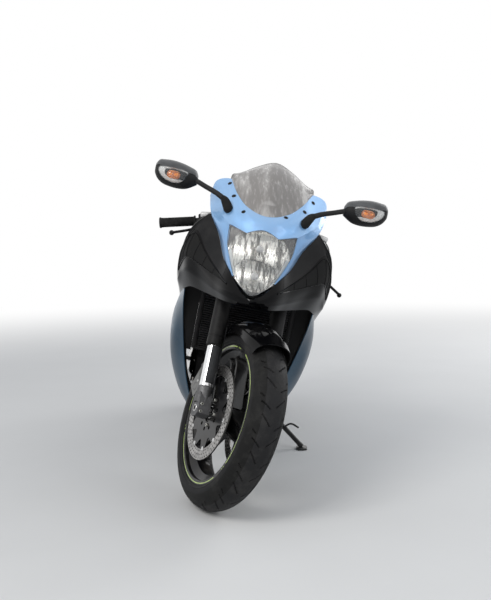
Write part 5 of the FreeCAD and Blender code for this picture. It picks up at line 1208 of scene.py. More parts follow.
calipers.done("steering", ["front_calipers"], "engine_grey", bevel=1.2)

# %% [markdown]
# ## Yokes
# The yokes clamp the fork tubes with pinch bolts and turn on the stem. Both are one outline, drawn
# once in a function and set at two heights.

# %% Yokes
YOKE = [(70, -66), (112, -68), (122, -66.5), (133, -58), (138, -48), (139.5, -34), (138, -18), (132, -7), (121, 2.5),
        (98, 10), (40, 30)]


def yoke(name, low, high, stem_hole):
    made = Piece(name, FORK)
    outline = YOKE + [(-x, y) for x, y in reversed(YOKE)]
    holes = [circle(104, -32, 27.1, 36), circle(-104, -32, 27.1, 36)]
    slab(made, outline, low + 0.4, high - 0.4, black_cast, "XY", holes
        + ([circle(0, 0, 15, 28)] if stem_hole else []))
    for z in ((low + high) / 2,) if high - low < 24 else (low + 8, high - 8):
        bolt(made, (72, -66.5, z), AHEAD, 5, zinc, 4.5, black_cast, True)
        bolt(made, (-84, -67, z), AHEAD, 5, zinc, 4.5, black_cast)
    return made


top = yoke("top_yoke_plate", 69, 89, True)
lathe(top, [(88.6, 23), (89.6, 23), (89.6, 19, 6), (97, 19, 6), (98, 17.5), (98, 10), (92, 9), (92, 0)], steel,
    (0, 0, 0), UP, 36)
lathe(top, [(86, 16), (91.4, 16), (92, 15), (92, 6), (90, 5.4), (90, 0)], steel, (0, -46, 0), UP, 30)
# A thin black plate on the floor of the plug's recess stands for its slot: painted shade.
slab(top, [(-1, -51), (1, -51), (1, -41), (-1, -41)], 89.8, 90.4, inner_plastic, "XY")
top.done("steering", ["top_yoke"], "black_metal", bevel=1.6)
bottom = yoke("bottom_yoke_casting", -97, -69, False)
lathe(bottom, [(-69, 15), (-64.5, 15)], steel, (0, 0, 0), UP, 30)
lathe(bottom, [(64.5, 15), (70, 15)], steel, (0, 0, 0), UP, 30)
bottom.done("steering", ["bottom_yoke"], "black_metal", bevel=1.6)

# %% [markdown]
# ## Bars and grips
# Two short bars with rubber grips clamp on the fork tubes above the top yoke and slope outwards and down.
# Each grip is ribbed rings between smooth flanges.

# %% Bars and grips
BAR_START, BAR_END = np.array((104, -32, 108.0)), np.array((339, 98, 44.0))
BAR_WAY = (BAR_END - BAR_START) / np.linalg.norm(BAR_END - BAR_START)


def bar_at(share):
    return BAR_START + (BAR_END - BAR_START) * share


bars = Piece("clip_on_bars", FORK)
lathe(bars, [(92.3, 27.1), (92.3, 36), (93.5, 37), (122.5, 37), (123.7, 36), (123.7, 27.1)], black_cast, LEG,
      UP, 48, True)
tube(bars, [bar_at(0.14), bar_at(0.995)], 11, black_cast, 28, mirror=True)
bolt(bars, (76, -8, 108), (0.2, 1, 0), 5, zinc, 5, black_cast, True)
lathe(bars, [(-2, 8), (-2, 17.5), (0, 18.5), (3, 18.5), (5, 17), (5, 6)], black_cast, BAR_END + BAR_WAY * -3, BAR_WAY,
    30, True)
bars.done("steering", ["handlebars"], "black_metal", bevel=0.5)

grips = Piece("grip_rubbers", FORK)
profile = [(0, 11.2), (0, 17), (1, 19.5), (4, 19.5), (5.5, 16.8)]
for ring in range(24):
    start = 8 + ring * 4.3
    profile += [(start, 16.7), (start + 0.5, 15.9), (start + 3.3, 15.9), (start + 3.8, 16.7)]
profile += [(114, 16.6), (118, 16.6), (119, 15.5), (119, 11.2)]
lathe(grips, profile, black_rubber, BAR_END - BAR_WAY * 122, BAR_WAY, 40, True)
grips.done("steering", ["grips"], "rubber")

# %% [markdown]
# ## Levers, switches and the brake reservoir
# A lever is one forging: a flat blade, thickest at its pivot and waisted before the ball at its end. The clutch
# lever pivots in a simple perch; the brake lever works a master cylinder with a translucent cup beside it.
# A switch box clamps round each bar inboard of the grip.

# %% Levers and switches
levers = Piece("lever_pair", FORK)
for side, bend, end in ((1, (246, 3, 37), (352, 12, -8)), (-1, (232, -8, 36), (314, 20, -6))):
    turn = np.array((side, 1, 1))
    pivot = np.array((186.0, -34, 62))
    path = [pivot, pivot * 0.55 + np.array(bend) * 0.45 + (0, -2, 1), bend, np.array(bend) * 0.5 + np.array(end) * 0.5
            + (0, 0, -2), end]
    tube(levers, np.array(path) * turn, [7.2, 6.6, 6, 5.4, 5.6], smoke_black, 18, 7, flat=0.8)
    tip = (np.array(end) + (2, 2, -1)) * turn
    lathe(levers, [(-8.6, 0), (-7, 5), (-4, 7.8), (0, 8.8), (4, 7.8), (7, 5), (8.6, 0)], smoke_black, tip,
        (side, 0.1, -0.4), 24)
    lathe(levers, [(-11, 0), (-11, 7), (-10, 9), (10, 9), (11, 7), (11, 0)], black_cast, pivot * turn, (0, 0.25, 1),
        28)
    bolt(levers, (pivot + (0, 2.6, 10.6)) * turn, (0, 0.25, 1), 5, zinc, 3.5, black_cast)
    lathe(levers, [(0, 11.2), (0, 15.5), (1, 16.8), (25, 16.8), (26, 15.5), (26, 11.2)], black_cast, bar_at(0.275)
        * turn, BAR_WAY * turn, 34)
    tube(levers, np.array([bar_at(0.315) + (0, -6, -4), pivot]) * turn, [10, 8.5], black_cast, 18)
    for along in (5, 19):
        bolt(levers, (bar_at(0.275) + BAR_WAY * along + (3, 13, 6)) * turn, (0.1 * side, 0.9, 0.4), 3.4, zinc, 3,
            black_cast)
levers.done("steering", ["levers"], "alloy", bevel=0.5, smooth=50)

switches = Piece("switch_boxes", FORK)
for side in (1, -1):
    turn = np.array((side, 1, 1))
    start = bar_at(0.40)
    block(switches, start * turn, (start + BAR_WAY * 34) * turn, 36, 40, black_plastic, 7, 2.5, (0, 0.3, 1))
    face = start + BAR_WAY * 17 + (-9.5, 17.5, 3)
    if side > 0:
        block(switches, (face + (0, 0, 7)) * turn, (face + (2, 5, 7)) * turn, 14, 7, grey_plastic, 2, 0.8)
        block(switches, (face + (0, 0, -6)) * turn, (face + (3, 7, -6)) * turn, 7, 7, amber, 2, 1)
    else:
        block(switches, (face + (0, 0, 8)) * turn, (face + (2, 6, 8)) * turn, 10, 8, red_lens, 2, 1)
        lathe(switches, solid_of(7, 5, 1), grey_plastic, (face + (0, -1, -6)) * turn, BACK, 20)
switches.done("steering", ["levers"], "black_plastic", bevel=0.6)

cup = Piece("brake_fluid_cup", FORK)
lathe(cup, [(102, 0), (102, 14), (103.5, 17), (106, 18.6), (126, 19.4), (127, 19.4), (127, 0)], white_cup,
    (-172, -62, 0), UP, 40)
lathe(cup, [(126, 19.9), (134, 19.9), (136, 18.5), (136, 0)], black_plastic, (-172, -62, 0), UP, 40)
for turn in range(12):
    angle = turn * math.pi / 6
    x, y = -172 + 19.6 * math.cos(angle), -62 + 19.6 * math.sin(angle)
    block(cup, (x, y, 127), (x, y, 134), 2.2, 1.4, black_plastic, 0.4, 0.3, (math.cos(angle), math.sin(angle), 0))
tube(cup, [(-160, -3, 94), (-165, -34, 99), (-169, -52, 106)], [6.5, 6, 6.5], black_cast, 16)
cup.done("steering", ["brake_reservoir"], "black_plastic", bevel=0.4)

# %% [markdown]
# ## Front mudguard
# A short gloss black guard hugs the tyre and wraps down to a blade on each side, which is bolted to the fork
# leg. The arch is a lofted sheet through measured ribs; its rolled edge catches a bright line.

# %% Front mudguard
GUARD = [(-74, 262), (-70, 286), (-50, 308), (-25, 319), (0, 322), (25, 319), (50, 308), (70, 286), (74, 262)]
ribs = []
for angle in (-28, -15, -2, 12, 27, 44, 60):
    c, s = math.cos(math.radians(angle - 24)), math.sin(math.radians(angle - 24))
    trim, rise = (0.88, 6) if angle in (-28, 60) else (1, 0)
    ribs.append([(x * trim, -32 + s * (r + rise), AXLE + c * (r + rise)) for x, r in GUARD])
guard = Piece("front_guard", FORK)
panel(guard, smooth_grid(ribs, 7, 5), 3.5, (0, -32, AXLE), gloss_black, inner_plastic)
slab(guard, [(-46, AXLE + 31), (-40, AXLE + 120), (-44, AXLE + 200), (-47, -280), (-30, -272.6), (-20, -280),
    (-20, AXLE + 200), (-25, AXLE + 120), (-22, AXLE + 31)], 77.3, 81.8, grey_plastic, mirror=True)
block(guard, (81.6, -33, -330), (81.6, -33, AXLE + 60), 4, 1.6, black_plastic, 0.7, 0.5, LEFT, True)
shield = [[(104 + 25 * math.cos(a), -32 + 25 * math.sin(a), z) for a in np.radians(np.linspace(150, 306, 13))]
    for z in (-354, -400, -440, AXLE + 84)]
panel(guard, shield, 2, (104, -32, -450), grey_plastic, mirror=True)
for z in (-300, AXLE + 45):
    bolt(guard, (81.5, -33, z), LEFT, 5, black_plastic, 3.5, inner_plastic, True)
lathe(guard, solid_of(9.5, 8, 1), black_plastic, (70.3, -32, -284), LEFT, 20, True)
guard.done("steering", ["front_mudguard"], "black_plastic", bevel=0.8)

# %% [markdown]
# ## Mirrors and front indicators
# Each mirror is a split shell: a grey cap over a black lower half, with the glass facing the rider. A clear
# indicator is set into its front, with an amber bulb in a bright dish. The stem rises from a thick rubber boot.

# %% Mirrors
CASE = [(245, -576, -553, 1008, 1036), (254, -588, -549, 1002, 1052), (280, -598, -545, 988, 1063),
        (310, -601, -542, 984, 1070), (336, -600, -540, 986, 1072.4), (361, -594, -539, 992, 1070.8),
        (380, -583, -538, 1006, 1067), (389, -568, -540, 1020, 1054)]


def case_rows(low, high, count, shrink=0.0):
    """Rows of the mirror shell between two angles of its rounded front."""
    rows = []
    for x, front, back, z1, z2 in CASE:
        row = []
        for a in np.radians(np.linspace(low, high, count)):
            reach = (back - front - shrink) * abs(math.cos(a)) ** 0.62
            row.append((x, back - reach, (z1 + z2) / 2 + ((z2 - z1) / 2 - shrink) * math.sin(a)))
        rows.append(row)
    return refine(rows, 5)


mirrors = Piece("mirror_pair")
panel(mirrors, case_rows(24, 90, 9), 2.2, (318, -550, 1030), shell_grey, mirror=True)
panel(mirrors, case_rows(-90, 21, 12), 2.2, (318, -550, 1030), black_plastic, mirror=True)
panel(mirrors, case_rows(-86, 86, 15, 2.6), 1.2, (318, -550, 1030), inner_plastic, mirror=True)
face = []
for x, front, back, z1, z2 in refine([[row[:3], (*row[3:], 0)] for row in CASE], 5).reshape(-1, 6)[:, :5]:
    face.append([(x, back - 3 + 0.5 * math.cos(t), (z1 + z2) / 2 + (z2 - z1 - 7) / 2 * t)
        for t in np.linspace(-1, 1, 7)])
panel(mirrors, face, 1.5, (318, -600, 1030), black_plastic, mirror=True)
glass = [[(318 + (p[0] - 318) * 0.93, p[1] + 0.8, 1030 + (p[2] - 1030) * 0.9) for p in row] for row in face]
panel(mirrors, glass, 0.6, (318, -600, 1030), mirror_glass, mirror=True)
tube(mirrors, [(146, -619, 981), (170, -608, 993), (215, -588, 1009), (250, -575, 1021), (272, -566, 1025)],
     [9, 8.6, 8.2, 8.4, 10], black_plastic, 22, 6, True)
tube(mirrors, [(119, -643, 938), (120, -642, 941), (122, -640, 946), (126, -636, 953), (131, -631, 962),
    (137, -626, 971), (144, -620, 979), (152, -616, 985)], [2, 9, 13.5, 15.5, 15.5, 14.5, 12.5, 9], black_rubber, 26,
    4, True)
mirrors.done("chassis", ["mirrors"], "black_plastic", bevel=0.3, smooth=34)

LAMP_FACE = [(275, 1040), (283, 1044), (320, 1047), (360, 1047), (373, 1044), (376, 1037), (372, 1024), (360, 1012),
    (345, 1004), (320, 999), (300, 1002), (286, 1012), (278, 1026)]
winkers = Piece("mirror_winkers")
for finish, sweep, shares in ((lens_clear, 0.11, ((1.0, -588), (1.0, -600), (0.97, -604), (0.88, -608), (0.7, -610.5),
        (0.4, -611.7), (0.12, -612))), (bulb_glass, 0.10, ((0.95, -601), (0.72, -595), (0.42, -592), (0.1, -591)))):
    loft(winkers, [closed([(324 + (x - 324) * share, y + abs(x - 324) * sweep, 1026 + (z - 1026) * share) for x,
        z in LAMP_FACE], 3) for share, y in shares], finish, mirror=True)
loft(winkers, [[(322 + a * g, -603 + d, 1025 + b * g) for a, b in rounded_section(44, 26, 12.8, 6)] for d,
    g in ((-5.5, 0.1), (-5, 0.45), (-3, 0.8), (0, 1), (5, 1))], amber, mirror=True)
winkers.done("chassis", ["mirror_indicators"], "amber_lens", smooth=50)

# %% [markdown]
# ## Cockpit
# Behind the screen a steel stay carries the instruments: a rounded housing with a dial for the engine's speed,
# a small display and three warning lamps. Soft black trims line the edges of the side cowls next to the bars.

# %% Cockpit
stay = Piece("cowl_stay_frame")
tube(stay, [(0, -470, 815), (0, -540, 834), (0, -640, 868)], [17, 16, 15], black_cast, 20)
tube(stay, [(-138, -606, 943), (-90, -612, 938), (0, -620, 926), (90, -612, 938), (138, -606, 943)], 7, black_cast,
    16, 6)
for x in (-30, 30):
    tube(stay, [(x * 0.5, -640, 872), (x, -640, 900), (x, -622, 934)], 6.5, black_cast, 14, 6)
block(stay, (0, -640, 876), (0, -674, 876), 38, 26, black_cast, 3)
block(stay, (0, -606, 884), (0, -612, 946), 66, 8, black_plastic, 3, 1.5, BACK)
for x in (-138, 138):
    lathe(stay, solid_of(6, 14, 1), black_cast, (x * 0.97, -607, 938), (0.1, -0.4, 1), 24)
stay.done("chassis", ["cowl_stay"], "black_metal", bevel=0.8)

gauges = Piece("instrument_cluster")
loft(gauges, [box_ring(-wide, wide, y, low, high, corner, 6) for y, wide, low, high,
    corner in ((-601, 52, 952, 984, 12), (-598, 60, 947, 990, 15), (-588, 67, 945, 991, 18), (-570, 69, 941, 988, 18),
    (-567.5, 67.5, 942, 986.5, 17))], black_plastic)
lathe(gauges, [(0, 0), (0, 19), (1.6, 20.2), (2.2, 21.6), (0, 22.4)], dial_face, (-26, -567.6, 964), (0, 1, 0.06), 48)
for mark in range(27):
    angle = math.radians(-130 + mark * 10)
    c, s = math.cos(angle), math.sin(angle)
    r1, half = (14.2, 0.5) if mark % 2 == 0 else (16.0, 0.3)
    at = np.array((-26 - s * 17.6, -566.7, 964 + c * 17.6))
    block(gauges, at, (-26 - s * r1, -566.7, 964 + c * r1), 2 * half, 0.4, dial_marks, 0.1, 0.05, BACK)
block(gauges, (-26 + 3, -566.1, 960), (-26 - 11, -566.1, 974), 1.3, 0.5, red_lens, 0.2, 0.1, BACK, taper=0.4)
lathe(gauges, solid_of(1.6, 2.6, 0.4), black_plastic, (-26, -567, 964), BACK, 20)
block(gauges, (2, -566.9, 966), (52, -566.9, 966), 1.0, 24, display_glass, 0.4, 0.3, UP)
for digit in range(5):
    for z in (960, 966):
        block(gauges, (9 + digit * 8, -566.2, z), (13 + digit * 8, -566.2, z), 0.4, 0.9, inner_plastic, 0.1, 0.05)
    block(gauges, (13.5 + digit * 8, -566.2, 966.5), (13.5 + digit * 8, -566.2, 971), 0.9, 0.4, inner_plastic, 0.1,
        0.05, BACK)
for i, finish in enumerate((amber, red_lens, lime)):
    lathe(gauges, solid_of(1.2, 2, 0.4), finish, (18 + i * 9, -567.2, 948), BACK, 18)
gauges.done("chassis", ["instrument_panel"], "black_plastic", bevel=0.4, smooth=40)

trims = Piece("cockpit_trim_pair")
rings = [closed([(x - 4, y - 17, z - 14), (x - 1, y - 18, z + 4), (x - 6, y - 16, z + 14), (x - 14, y - 4, z + 14),
    (x - 20, y, z), (x - 12, y - 4, z - 14)], 4) for x, y, z in ((196, -562, 902), (214, -556, 895), (228, -548, 880),
    (234, -536, 860))]
ends = [np.mean(rings[0], axis=0) + (rings[0] - np.mean(rings[0], axis=0)) * 0.8 + (-3, 0, 1),
        np.mean(rings[3], axis=0) + (rings[3] - np.mean(rings[3], axis=0)) * 0.8 + (1, 2, -3)]
loft(trims, [ends[0], *refine(rings, 5), ends[1]], black_plastic, mirror=True)
block(trims, (176, -557, 922), (214, -557, 915), 17, 20, silver_cast, 6, 3, UP, True)
lathe(trims, solid_of(4, 4.5, 0.8), black_plastic, (186, -566, 921), AHEAD, 18, True)
tube(trims, [(186, -558, 914), (192, -560, 904), (198, -561, 897)], 4.5, silver_cast, 12, mirror=True)
tube(trims, [(210.4, -579.2, 887.9), (204.3, -565.6, 890)], 3, black_plastic, 10, mirror=True)
trims.done("chassis", ["cockpit_trims"], "black_plastic", bevel=0.3, smooth=50)

# %% [markdown]
# ## Radiator
# Flat horizontal tubes with folded fins between them, held between two end tanks and two rails. The fins are
# real zigzag sheets, so light falls through them as it does on the bike.

# %% Radiator
COOLER = BIKE @ Matrix.Translation((0, -365, 560)) @ Matrix.Rotation(math.radians(15), 4, "X")
cooler = Piece("radiator_core", COOLER)
for z in np.linspace(-112, 112, 27):
    block(cooler, (-152, 0, z), (152, 0, z), 20, 2, fin_metal, 0.9, 0.4, UP)
steps = np.arange(123)
for low in np.linspace(-112, 112, 27)[:-1]:
    rows = [[(-152.5 + 2.5 * i, y, low + 1 + (6.6 if i % 2 else 0)) for i in steps] for y in (-8, 8)]
    cooler.add(np.array(rows).reshape(-1, 3), grid_faces(2, len(steps)), fin_metal)
for side in (-1, 1):
    block(cooler, (side * 161, 0, -122), (side * 161, 0, 122), 17, 29, black_cast, 6, 2, BACK)
    block(cooler, (-160, 0, side * 119.5), (160, 0, side * 119.5), 27, 9, black_cast, 2, 1, UP)
lathe(cooler, solid_of(11, 19, 1.5), steel, (150, 0, 113.5), UP, 30)
tube(cooler, [(-158, 10, 100), (-158, 14.5, 96)], 13, black_rubber, 20)
cooler.done("chassis", ["radiator"], "black_metal", bevel=0.5)

# %% [markdown]
# ## Fuel tank
# The painted tank is a loft through ribs that narrow where the knees grip it, with a lock ring and flap on top.

# %% Fuel tank
TANK = [(-334, 800, 890, 930, 60, 110, 45), (-250, 790, 880, 985, 160, 180, 85), (-120, 790, 862, 992, 185, 202, 105),
        (0, 790, 842, 950, 182, 188, 90), (70, 790, 822, 872, 100, 112, 55)]
tank = Piece("fuel_tank_shell")
ribs = []
for y, z1, z2, z3, low, mid, high in TANK:
    half = [(low * 0.6, y, z1), (low, y, z1 + 2), (mid, y, z2), (mid * 0.80 + high * 0.16, y, z2 * 0.42 + z3 * 0.58),
            (high * 0.62, y, z3 - 4), (0, y, z3)]
    ribs.append(mirrored(half))
loft(tank, smooth_grid(ribs, 9, 6, sharp_lines=(1, 9)), sky_blue)
top_at = np.array((0, -128, 991.5))
lathe(tank, [(-3, 48), (0.5, 48), (1.5, 46.5), (2, 40), (1.2, 39)], black_cast, top_at, (0, -0.02, 1), 60)
lathe(tank, [(1.2, 39), (1.6, 38), (3.4, 36), (4.2, 30), (4.4, 0)], steel, top_at, (0, -0.02, 1), 60)
for turn in range(6):
    angle = math.radians(30 + 60 * turn)
    bolt(tank, top_at + (43.5 * math.cos(angle), 43.5 * math.sin(angle), 1.4), UP, 2.6, steel, 1.4, black_cast)
block(tank, top_at + (0, 12, 4.2), top_at + (0, 32, 4.2), 12, 2.4, black_cast, 1.2, 0.6)
tank.done("chassis", ["fuel_tank"], "blue_paint", bevel=0.6, smooth=30)

# %% [markdown]
# ## Seats
# Both seats are foam under vinyl: smooth cushions, pulled in at their edges, with a welt where they are widest.

# %% Seats
SEAT = [(60, 743, 806, 70), (150, 745, 798, 112), (250, 751, 812, 136), (300, 766, 832, 134), (332, 810, 850, 125)]
PERCH = [(348, 827, 868, 112), (430, 862, 908, 116), (540, 904, 944, 98), (640, 925, 955, 72)]


def cushion(name, table, low, high, cover, replaced):
    """A cushion through ribs of (along, bottom, top, half width), with a welt round its widest edge."""
    made = Piece(name)
    ribs = []
    for y, z1, z2, half in table:
        mid = z1 * 0.45 + z2 * 0.55
        side = [(half * low, y, z1), (half * 0.97, y, mid - 4), (half, y, mid),
            (half * 0.93, y, mid * 0.45 + z2 * 0.55), (half * high, y, z2 - 2.5), (half * 0.35, y, z2 - 0.5),
            (0, y, z2)]
        ribs.append(mirrored(side))
    skin = smooth_grid(ribs, 8, 4)
    ends = []
    for row, way in ((skin[0], -1), (skin[-1], 1)):
        middle = row.mean(axis=0)
        ends.append([middle + (row - middle) * s + (0, way * d, 0) for s, d in ((0.97, 2.2), (0.9, 3.6), (0.7, 4.4))])
    loft(made, [*ends[0][::-1], *skin, *ends[1]], cover)
    tube(made, skin[::3, 8], 1.7, cover, 8, 1, mirror=True, smooth=False)
    made.done("chassis", [replaced], "vinyl", smooth=50)


cushion("rider_cushion", SEAT, 0.84, 0.72, black_vinyl, "rider_seat")
cushion("passenger_cushion", PERCH, 0.8, 0.68, grey_vinyl, "passenger_seat")

# %% [markdown]
# ## Tail
# The tail is a thin blue shell that rises to the rear and closes over the lamp.

# %% Tail
TAIL = [(110, 100, 690, 128, 735, 60, 744), (250, 112, 706, 140, 752, 90, 752), (300, 111, 716, 142, 768, 94, 766),
        (345, 109, 730, 142, 800, 97, 826), (520, 90, 785, 126, 866, 80, 900), (680, 70, 832, 101, 902, 60, 934),
        (820, 40, 880, 62, 922, 34, 946)]
tail = Piece("tail_shell")
ribs = [mirrored([(low, y, z1), (mid * 0.985, y, z2 - 8), (mid * 0.985, y, z2 - 2), (top, y, z3), (0, y, z3)])
        for y, low, z1, mid, z2, top, z3 in TAIL]
tail_grid = smooth_grid(ribs, 8, 5, sharp_lines=(3, 5))
panel(tail, tail_grid, 3.5, (0, 450, 700), sky_blue, inner_plastic)
for y, z in ((200, 722), (420, 792), (600, 846)):
    for side in (1, -1):
        at, way = on_surface(tail_grid, (side * 110, y, z))
        way = way if way[0] * side > 0 else -way
        lathe(tail, [(-1, 7), (0.8, 7), (1.6, 5.5), (2.6, 4.5), (2.8, 2.5, 6), (1, 2.5, 6), (1, 0)], black_plastic,
            at, way, 18)
tail.done("chassis", ["tail_cowl"], "blue_paint", bevel=1.2, smooth=32)

lamp = Piece("tail_lamp_lens")
ribs = []
for y, a, z1, b, z2, c, z3 in ((800, 40, 876, 60, 918, 33, 938), (826, 37, 881, 56, 918, 31, 932),
        (836, 33, 886, 50, 918, 27, 929), (838.5, 26, 892, 40, 916, 21, 925)):
    ribs.append(closed(mirrored([(a, y, z1), (b, y, z2 - 6), (b, y, z2), (c, y, z3)], 0), 3))
loft(lamp, ribs, red_lens)
for x in (-26, 0, 26):
    lathe(lamp, [(0, 9), (0.8, 9), (1.4, 8)], reflector, (x, 838.2, 908), BACK, 24)
lamp.done("chassis", ["tail_lamp"], "red_lens", bevel=0.5, smooth=50)

# %% [markdown]
# ## Frame and swingarm
# Two deep box spars run back from the steering head round the engine to cast pivot plates. They are lofts
# through measured sections with rounded edges. The swingarm is a pair of tapering boxes with a chain adjuster
# at each end, and thin steel rails carry the tail.

# %% Frame
SPAR = [(-430, 828, 752, 8, 50), (-370, 778, 712, 60, 98), (-310, 770, 704, 106, 140), (-250, 776, 700, 154, 184),
        (-200, 790, 672, 164, 195), (-60, 790, 640, 174, 208), (40, 745, 610, 176, 208), (130, 640, 540, 158, 192),
        (190, 560, 500, 118, 176)]


frame_piece = Piece("twin_spar_frame")
rings = np.array([box_ring(inner, outer, y, low, high) for y, high, low, inner, outer in SPAR])
loft(frame_piece, refine(rings, 5), frame_metal, mirror=True)
head_way = np.array((0, math.sin(RAKE), math.cos(RAKE)))
lathe(frame_piece, [(-64, 24), (-64, 30), (-62, 32), (-46, 32), (-43, 29), (43, 29), (46, 32), (62, 32), (64, 30),
    (64, 24)], frame_metal, HEAD, head_way, 48)
slab(frame_piece, [(90, 555), (150, 572), (205, 570), (210, 480), (205, 365), (190, 322), (150, 300), (100, 300),
    (112, 350), (124, 405), (118, 470)], 118, 149.5, frame_metal, mirror=True,
    holes=[circle(150, 340, 13, 20), circle(150, 470, 10, 20)])
for y, z in ((128, 540), (178, 540), (120, 318)):
    bolt(frame_piece, (149.5, y, z), LEFT, 6.5, zinc, 5, black_cast, True)
nut(frame_piece, (149.5, 160, 405), LEFT, 15, 12, steel, True)
block(frame_piece, (-118, 182, 582), (118, 182, 582), 34, 28, frame_metal, 8, 2, UP)
block(frame_piece, (-58, 225, 582), (58, 225, 582), 60, 26, frame_metal, 6, 2, UP)
slab(frame_piece, [(-236, 642), (-186, 640), (-188, 738), (-232, 738)], 150, 172, frame_metal, mirror=True)
for y, z, end in ((-215, 662, 257), (-132, 672, 242)):
    tube(frame_piece, [(160, y, z), (end, y, z)], 7, black_cast, 18, mirror=True)
for x in (-90, 90):
    tube(frame_piece, [(x, -362, 730), (x, -393, 672)], 8, black_cast, 18)
tube(frame_piece, [(158, 120, 620), (112, 250, 700), (88, 420, 742), (52, 700, 838), (40, 790, 872)], 11, frame_metal,
    20, 8, True)
for y, x, z in ((420, 88, 742), (700, 52, 838)):
    tube(frame_piece, [(-x, y, z), (x, y, z)], 9, frame_metal, 16)
frame_piece.done("chassis", ["frame"], "black_metal", bevel=0.6)

arms = Piece("swingarm_casting")
stations = [(214, 353, 420, 116, 148), (330, 345, 419, 115, 149), (520, 316, 378, 116, 148),
    (690, 290, 342, 117, 147), (736, 294, 336, 118, 146), (742, 300, 330, 121, 143)]
rings = np.array([box_ring(inner, outer, y, low, high, 9) for y, low, high, inner, outer in stations])
loft(arms, refine(rings, 5), swing_metal, mirror=True)
rings = np.array([box_ring(-112, 112, y, low, high, 12) for y, low,
    high in ((218, 352, 418), (250, 354, 418), (300, 352, 412), (328, 356, 404))])
loft(arms, refine(rings, 3), swing_metal)
for y in (262, 300):
    block(arms, (149, y - 12, 386), (149.6, y + 12, 384), 3, 30, black_cast, 1, 0.4, UP, True)
tube(arms, [(-113, 160, 405), (113, 160, 405)], 20, swing_metal, 30)
loft(arms, refine(np.array([box_ring(58, 113, y, low, high, 9) for y, low,
    high in ((152, 390, 420), (180, 372, 420), (222, 356, 418))]), 4), swing_metal, mirror=True)
slab(arms, [(676, 303), (728, 303), (731, 306), (731, 324), (728, 327), (676, 327), (673, 324), (673, 306)], 147, 151,
     steel, mirror=True, holes=[circle(700, 315, 12.2, 24)])
lathe(arms, [(0, 5), (14, 5), (14, 8.5, 6), (20, 8.5, 6), (20, 0)], zinc, (132, 738, 315), BACK, 24, True)
for mark in range(6):
    block(arms, (149.4, 680 + mark * 8, 331), (149.4, 680 + mark * 8, 336), 1, 1.2, black_cast, 0.2, 0.1, BACK,
        True)
arms.done("chassis", ["swingarm"], "alloy", bevel=0.8)

# %% [markdown]
# ## Chain and sprockets
# The chain is laid link by link along its closed path: round the small sprocket, along the tangent, round the
# large one and back. Its length on paper isn't a whole number of links, five eighths of an inch each, so the
# pitch is stretched by a hair until the loop closes, as the adjuster does on the bike.

# %% Chain, sprockets and rear axle
SMALL, LARGE = (88.0, 402.0, 40.7), (700.0, 315.0, 108.7)


def on_sprocket(wheel, angle):
    """A point on a sprocket's pitch circle."""
    return np.array((wheel[0] + wheel[2] * math.cos(angle), wheel[1] + wheel[2] * math.sin(angle)))


def chain_path(share):
    """The point at a share of the loop, in the bike's YZ plane, and the loop's length."""
    run = math.hypot(LARGE[0] - SMALL[0], LARGE[1] - SMALL[1])
    slope = math.atan2(LARGE[1] - SMALL[1], LARGE[0] - SMALL[0])
    splay = math.asin((LARGE[2] - SMALL[2]) / run)
    straight_run = math.sqrt(run ** 2 - (LARGE[2] - SMALL[2]) ** 2)
    far, close = (math.pi + 2 * splay) * LARGE[2], (math.pi - 2 * splay) * SMALL[2]
    whole = 2 * straight_run + far + close
    top, low = slope + math.pi / 2 + splay, slope - math.pi / 2 - splay
    at = share % 1 * whole
    for wheel, angle, around in ((SMALL, top, far), (LARGE, low, close)):
        if at < straight_run:
            way = np.array((math.cos(angle - math.pi / 2), math.sin(angle - math.pi / 2)))
            return on_sprocket(wheel, angle) + way * at, whole
        at -= straight_run
        other = LARGE if wheel is SMALL else SMALL
        if at < around:
            return on_sprocket(other, angle - at / other[2]), whole
        at -= around
    return on_sprocket(SMALL, low - (at + close) / SMALL[2]), whole


chain = Piece("drive_chain_links")
LINK = 15.875  # five eighths of an inch between pins
count = 2 * round(chain_path(0)[1] / LINK / 2)
pins = [chain_path(i / count)[0] for i in range(count)]
for i, (a, b) in enumerate(zip(pins, pins[1:] + pins[:1])):
    middle, way = (a + b) / 2, (b - a) / np.linalg.norm(b - a)
    normal = np.array((-way[1], way[0]))
    lower = [(-14.6, -3.4), (-12.6, -6.4), (-9.4, -7.2), (-5.4, -6.2), (0, -4.6), (5.4, -6.2), (9.4, -7.2),
        (12.6, -6.4), (14.6, -3.4)]
    outline = [middle + way * along * 0.97 + normal * across for along, across in lower
        + [(-u, -v) for u, v in lower]]
    for side in (-1, 1):
        face = 103 + side * (4.9 if i % 2 else 3.2)
        points = [(x, *p) for x in (face - 0.75, face + 0.75) for p in outline]
        ring = len(outline)
        faces = [list(range(ring)), list(range(ring, 2 * ring))[::-1]]
        faces += [[k, (k + 1) % ring, ring + (k + 1) % ring, ring + k] for k in range(ring)]
        chain.add(points, faces, chain_steel)
    lathe(chain, [(-5.9, 0), (-5.9, 2.4), (-2.4, 2.4), (-2.4, 4.9), (2.4, 4.9), (2.4, 2.4), (5.9, 2.4), (5.9, 0)],
        chain_steel, (103, *a), LEFT, 10)
chain.done("chassis", ["chain"], "steel", smooth=34)


def toothed(pitch_radius, teeth, turn=0.0):
    """Outline of a sprocket: a valley for each roller and a rounded tooth between them."""
    found = []
    for tooth in range(teeth):
        for part, lift in ((-0.30, -3.9), (-0.16, -4.8), (0, -5.0), (0.16, -4.8), (0.30, -3.9), (0.40, 0.5),
                (0.46, 3.6), (0.54, 3.6), (0.60, 0.5)):
            found.append(polar(pitch_radius + lift, turn + (tooth + part) * 2 * math.pi / teeth))
    return found


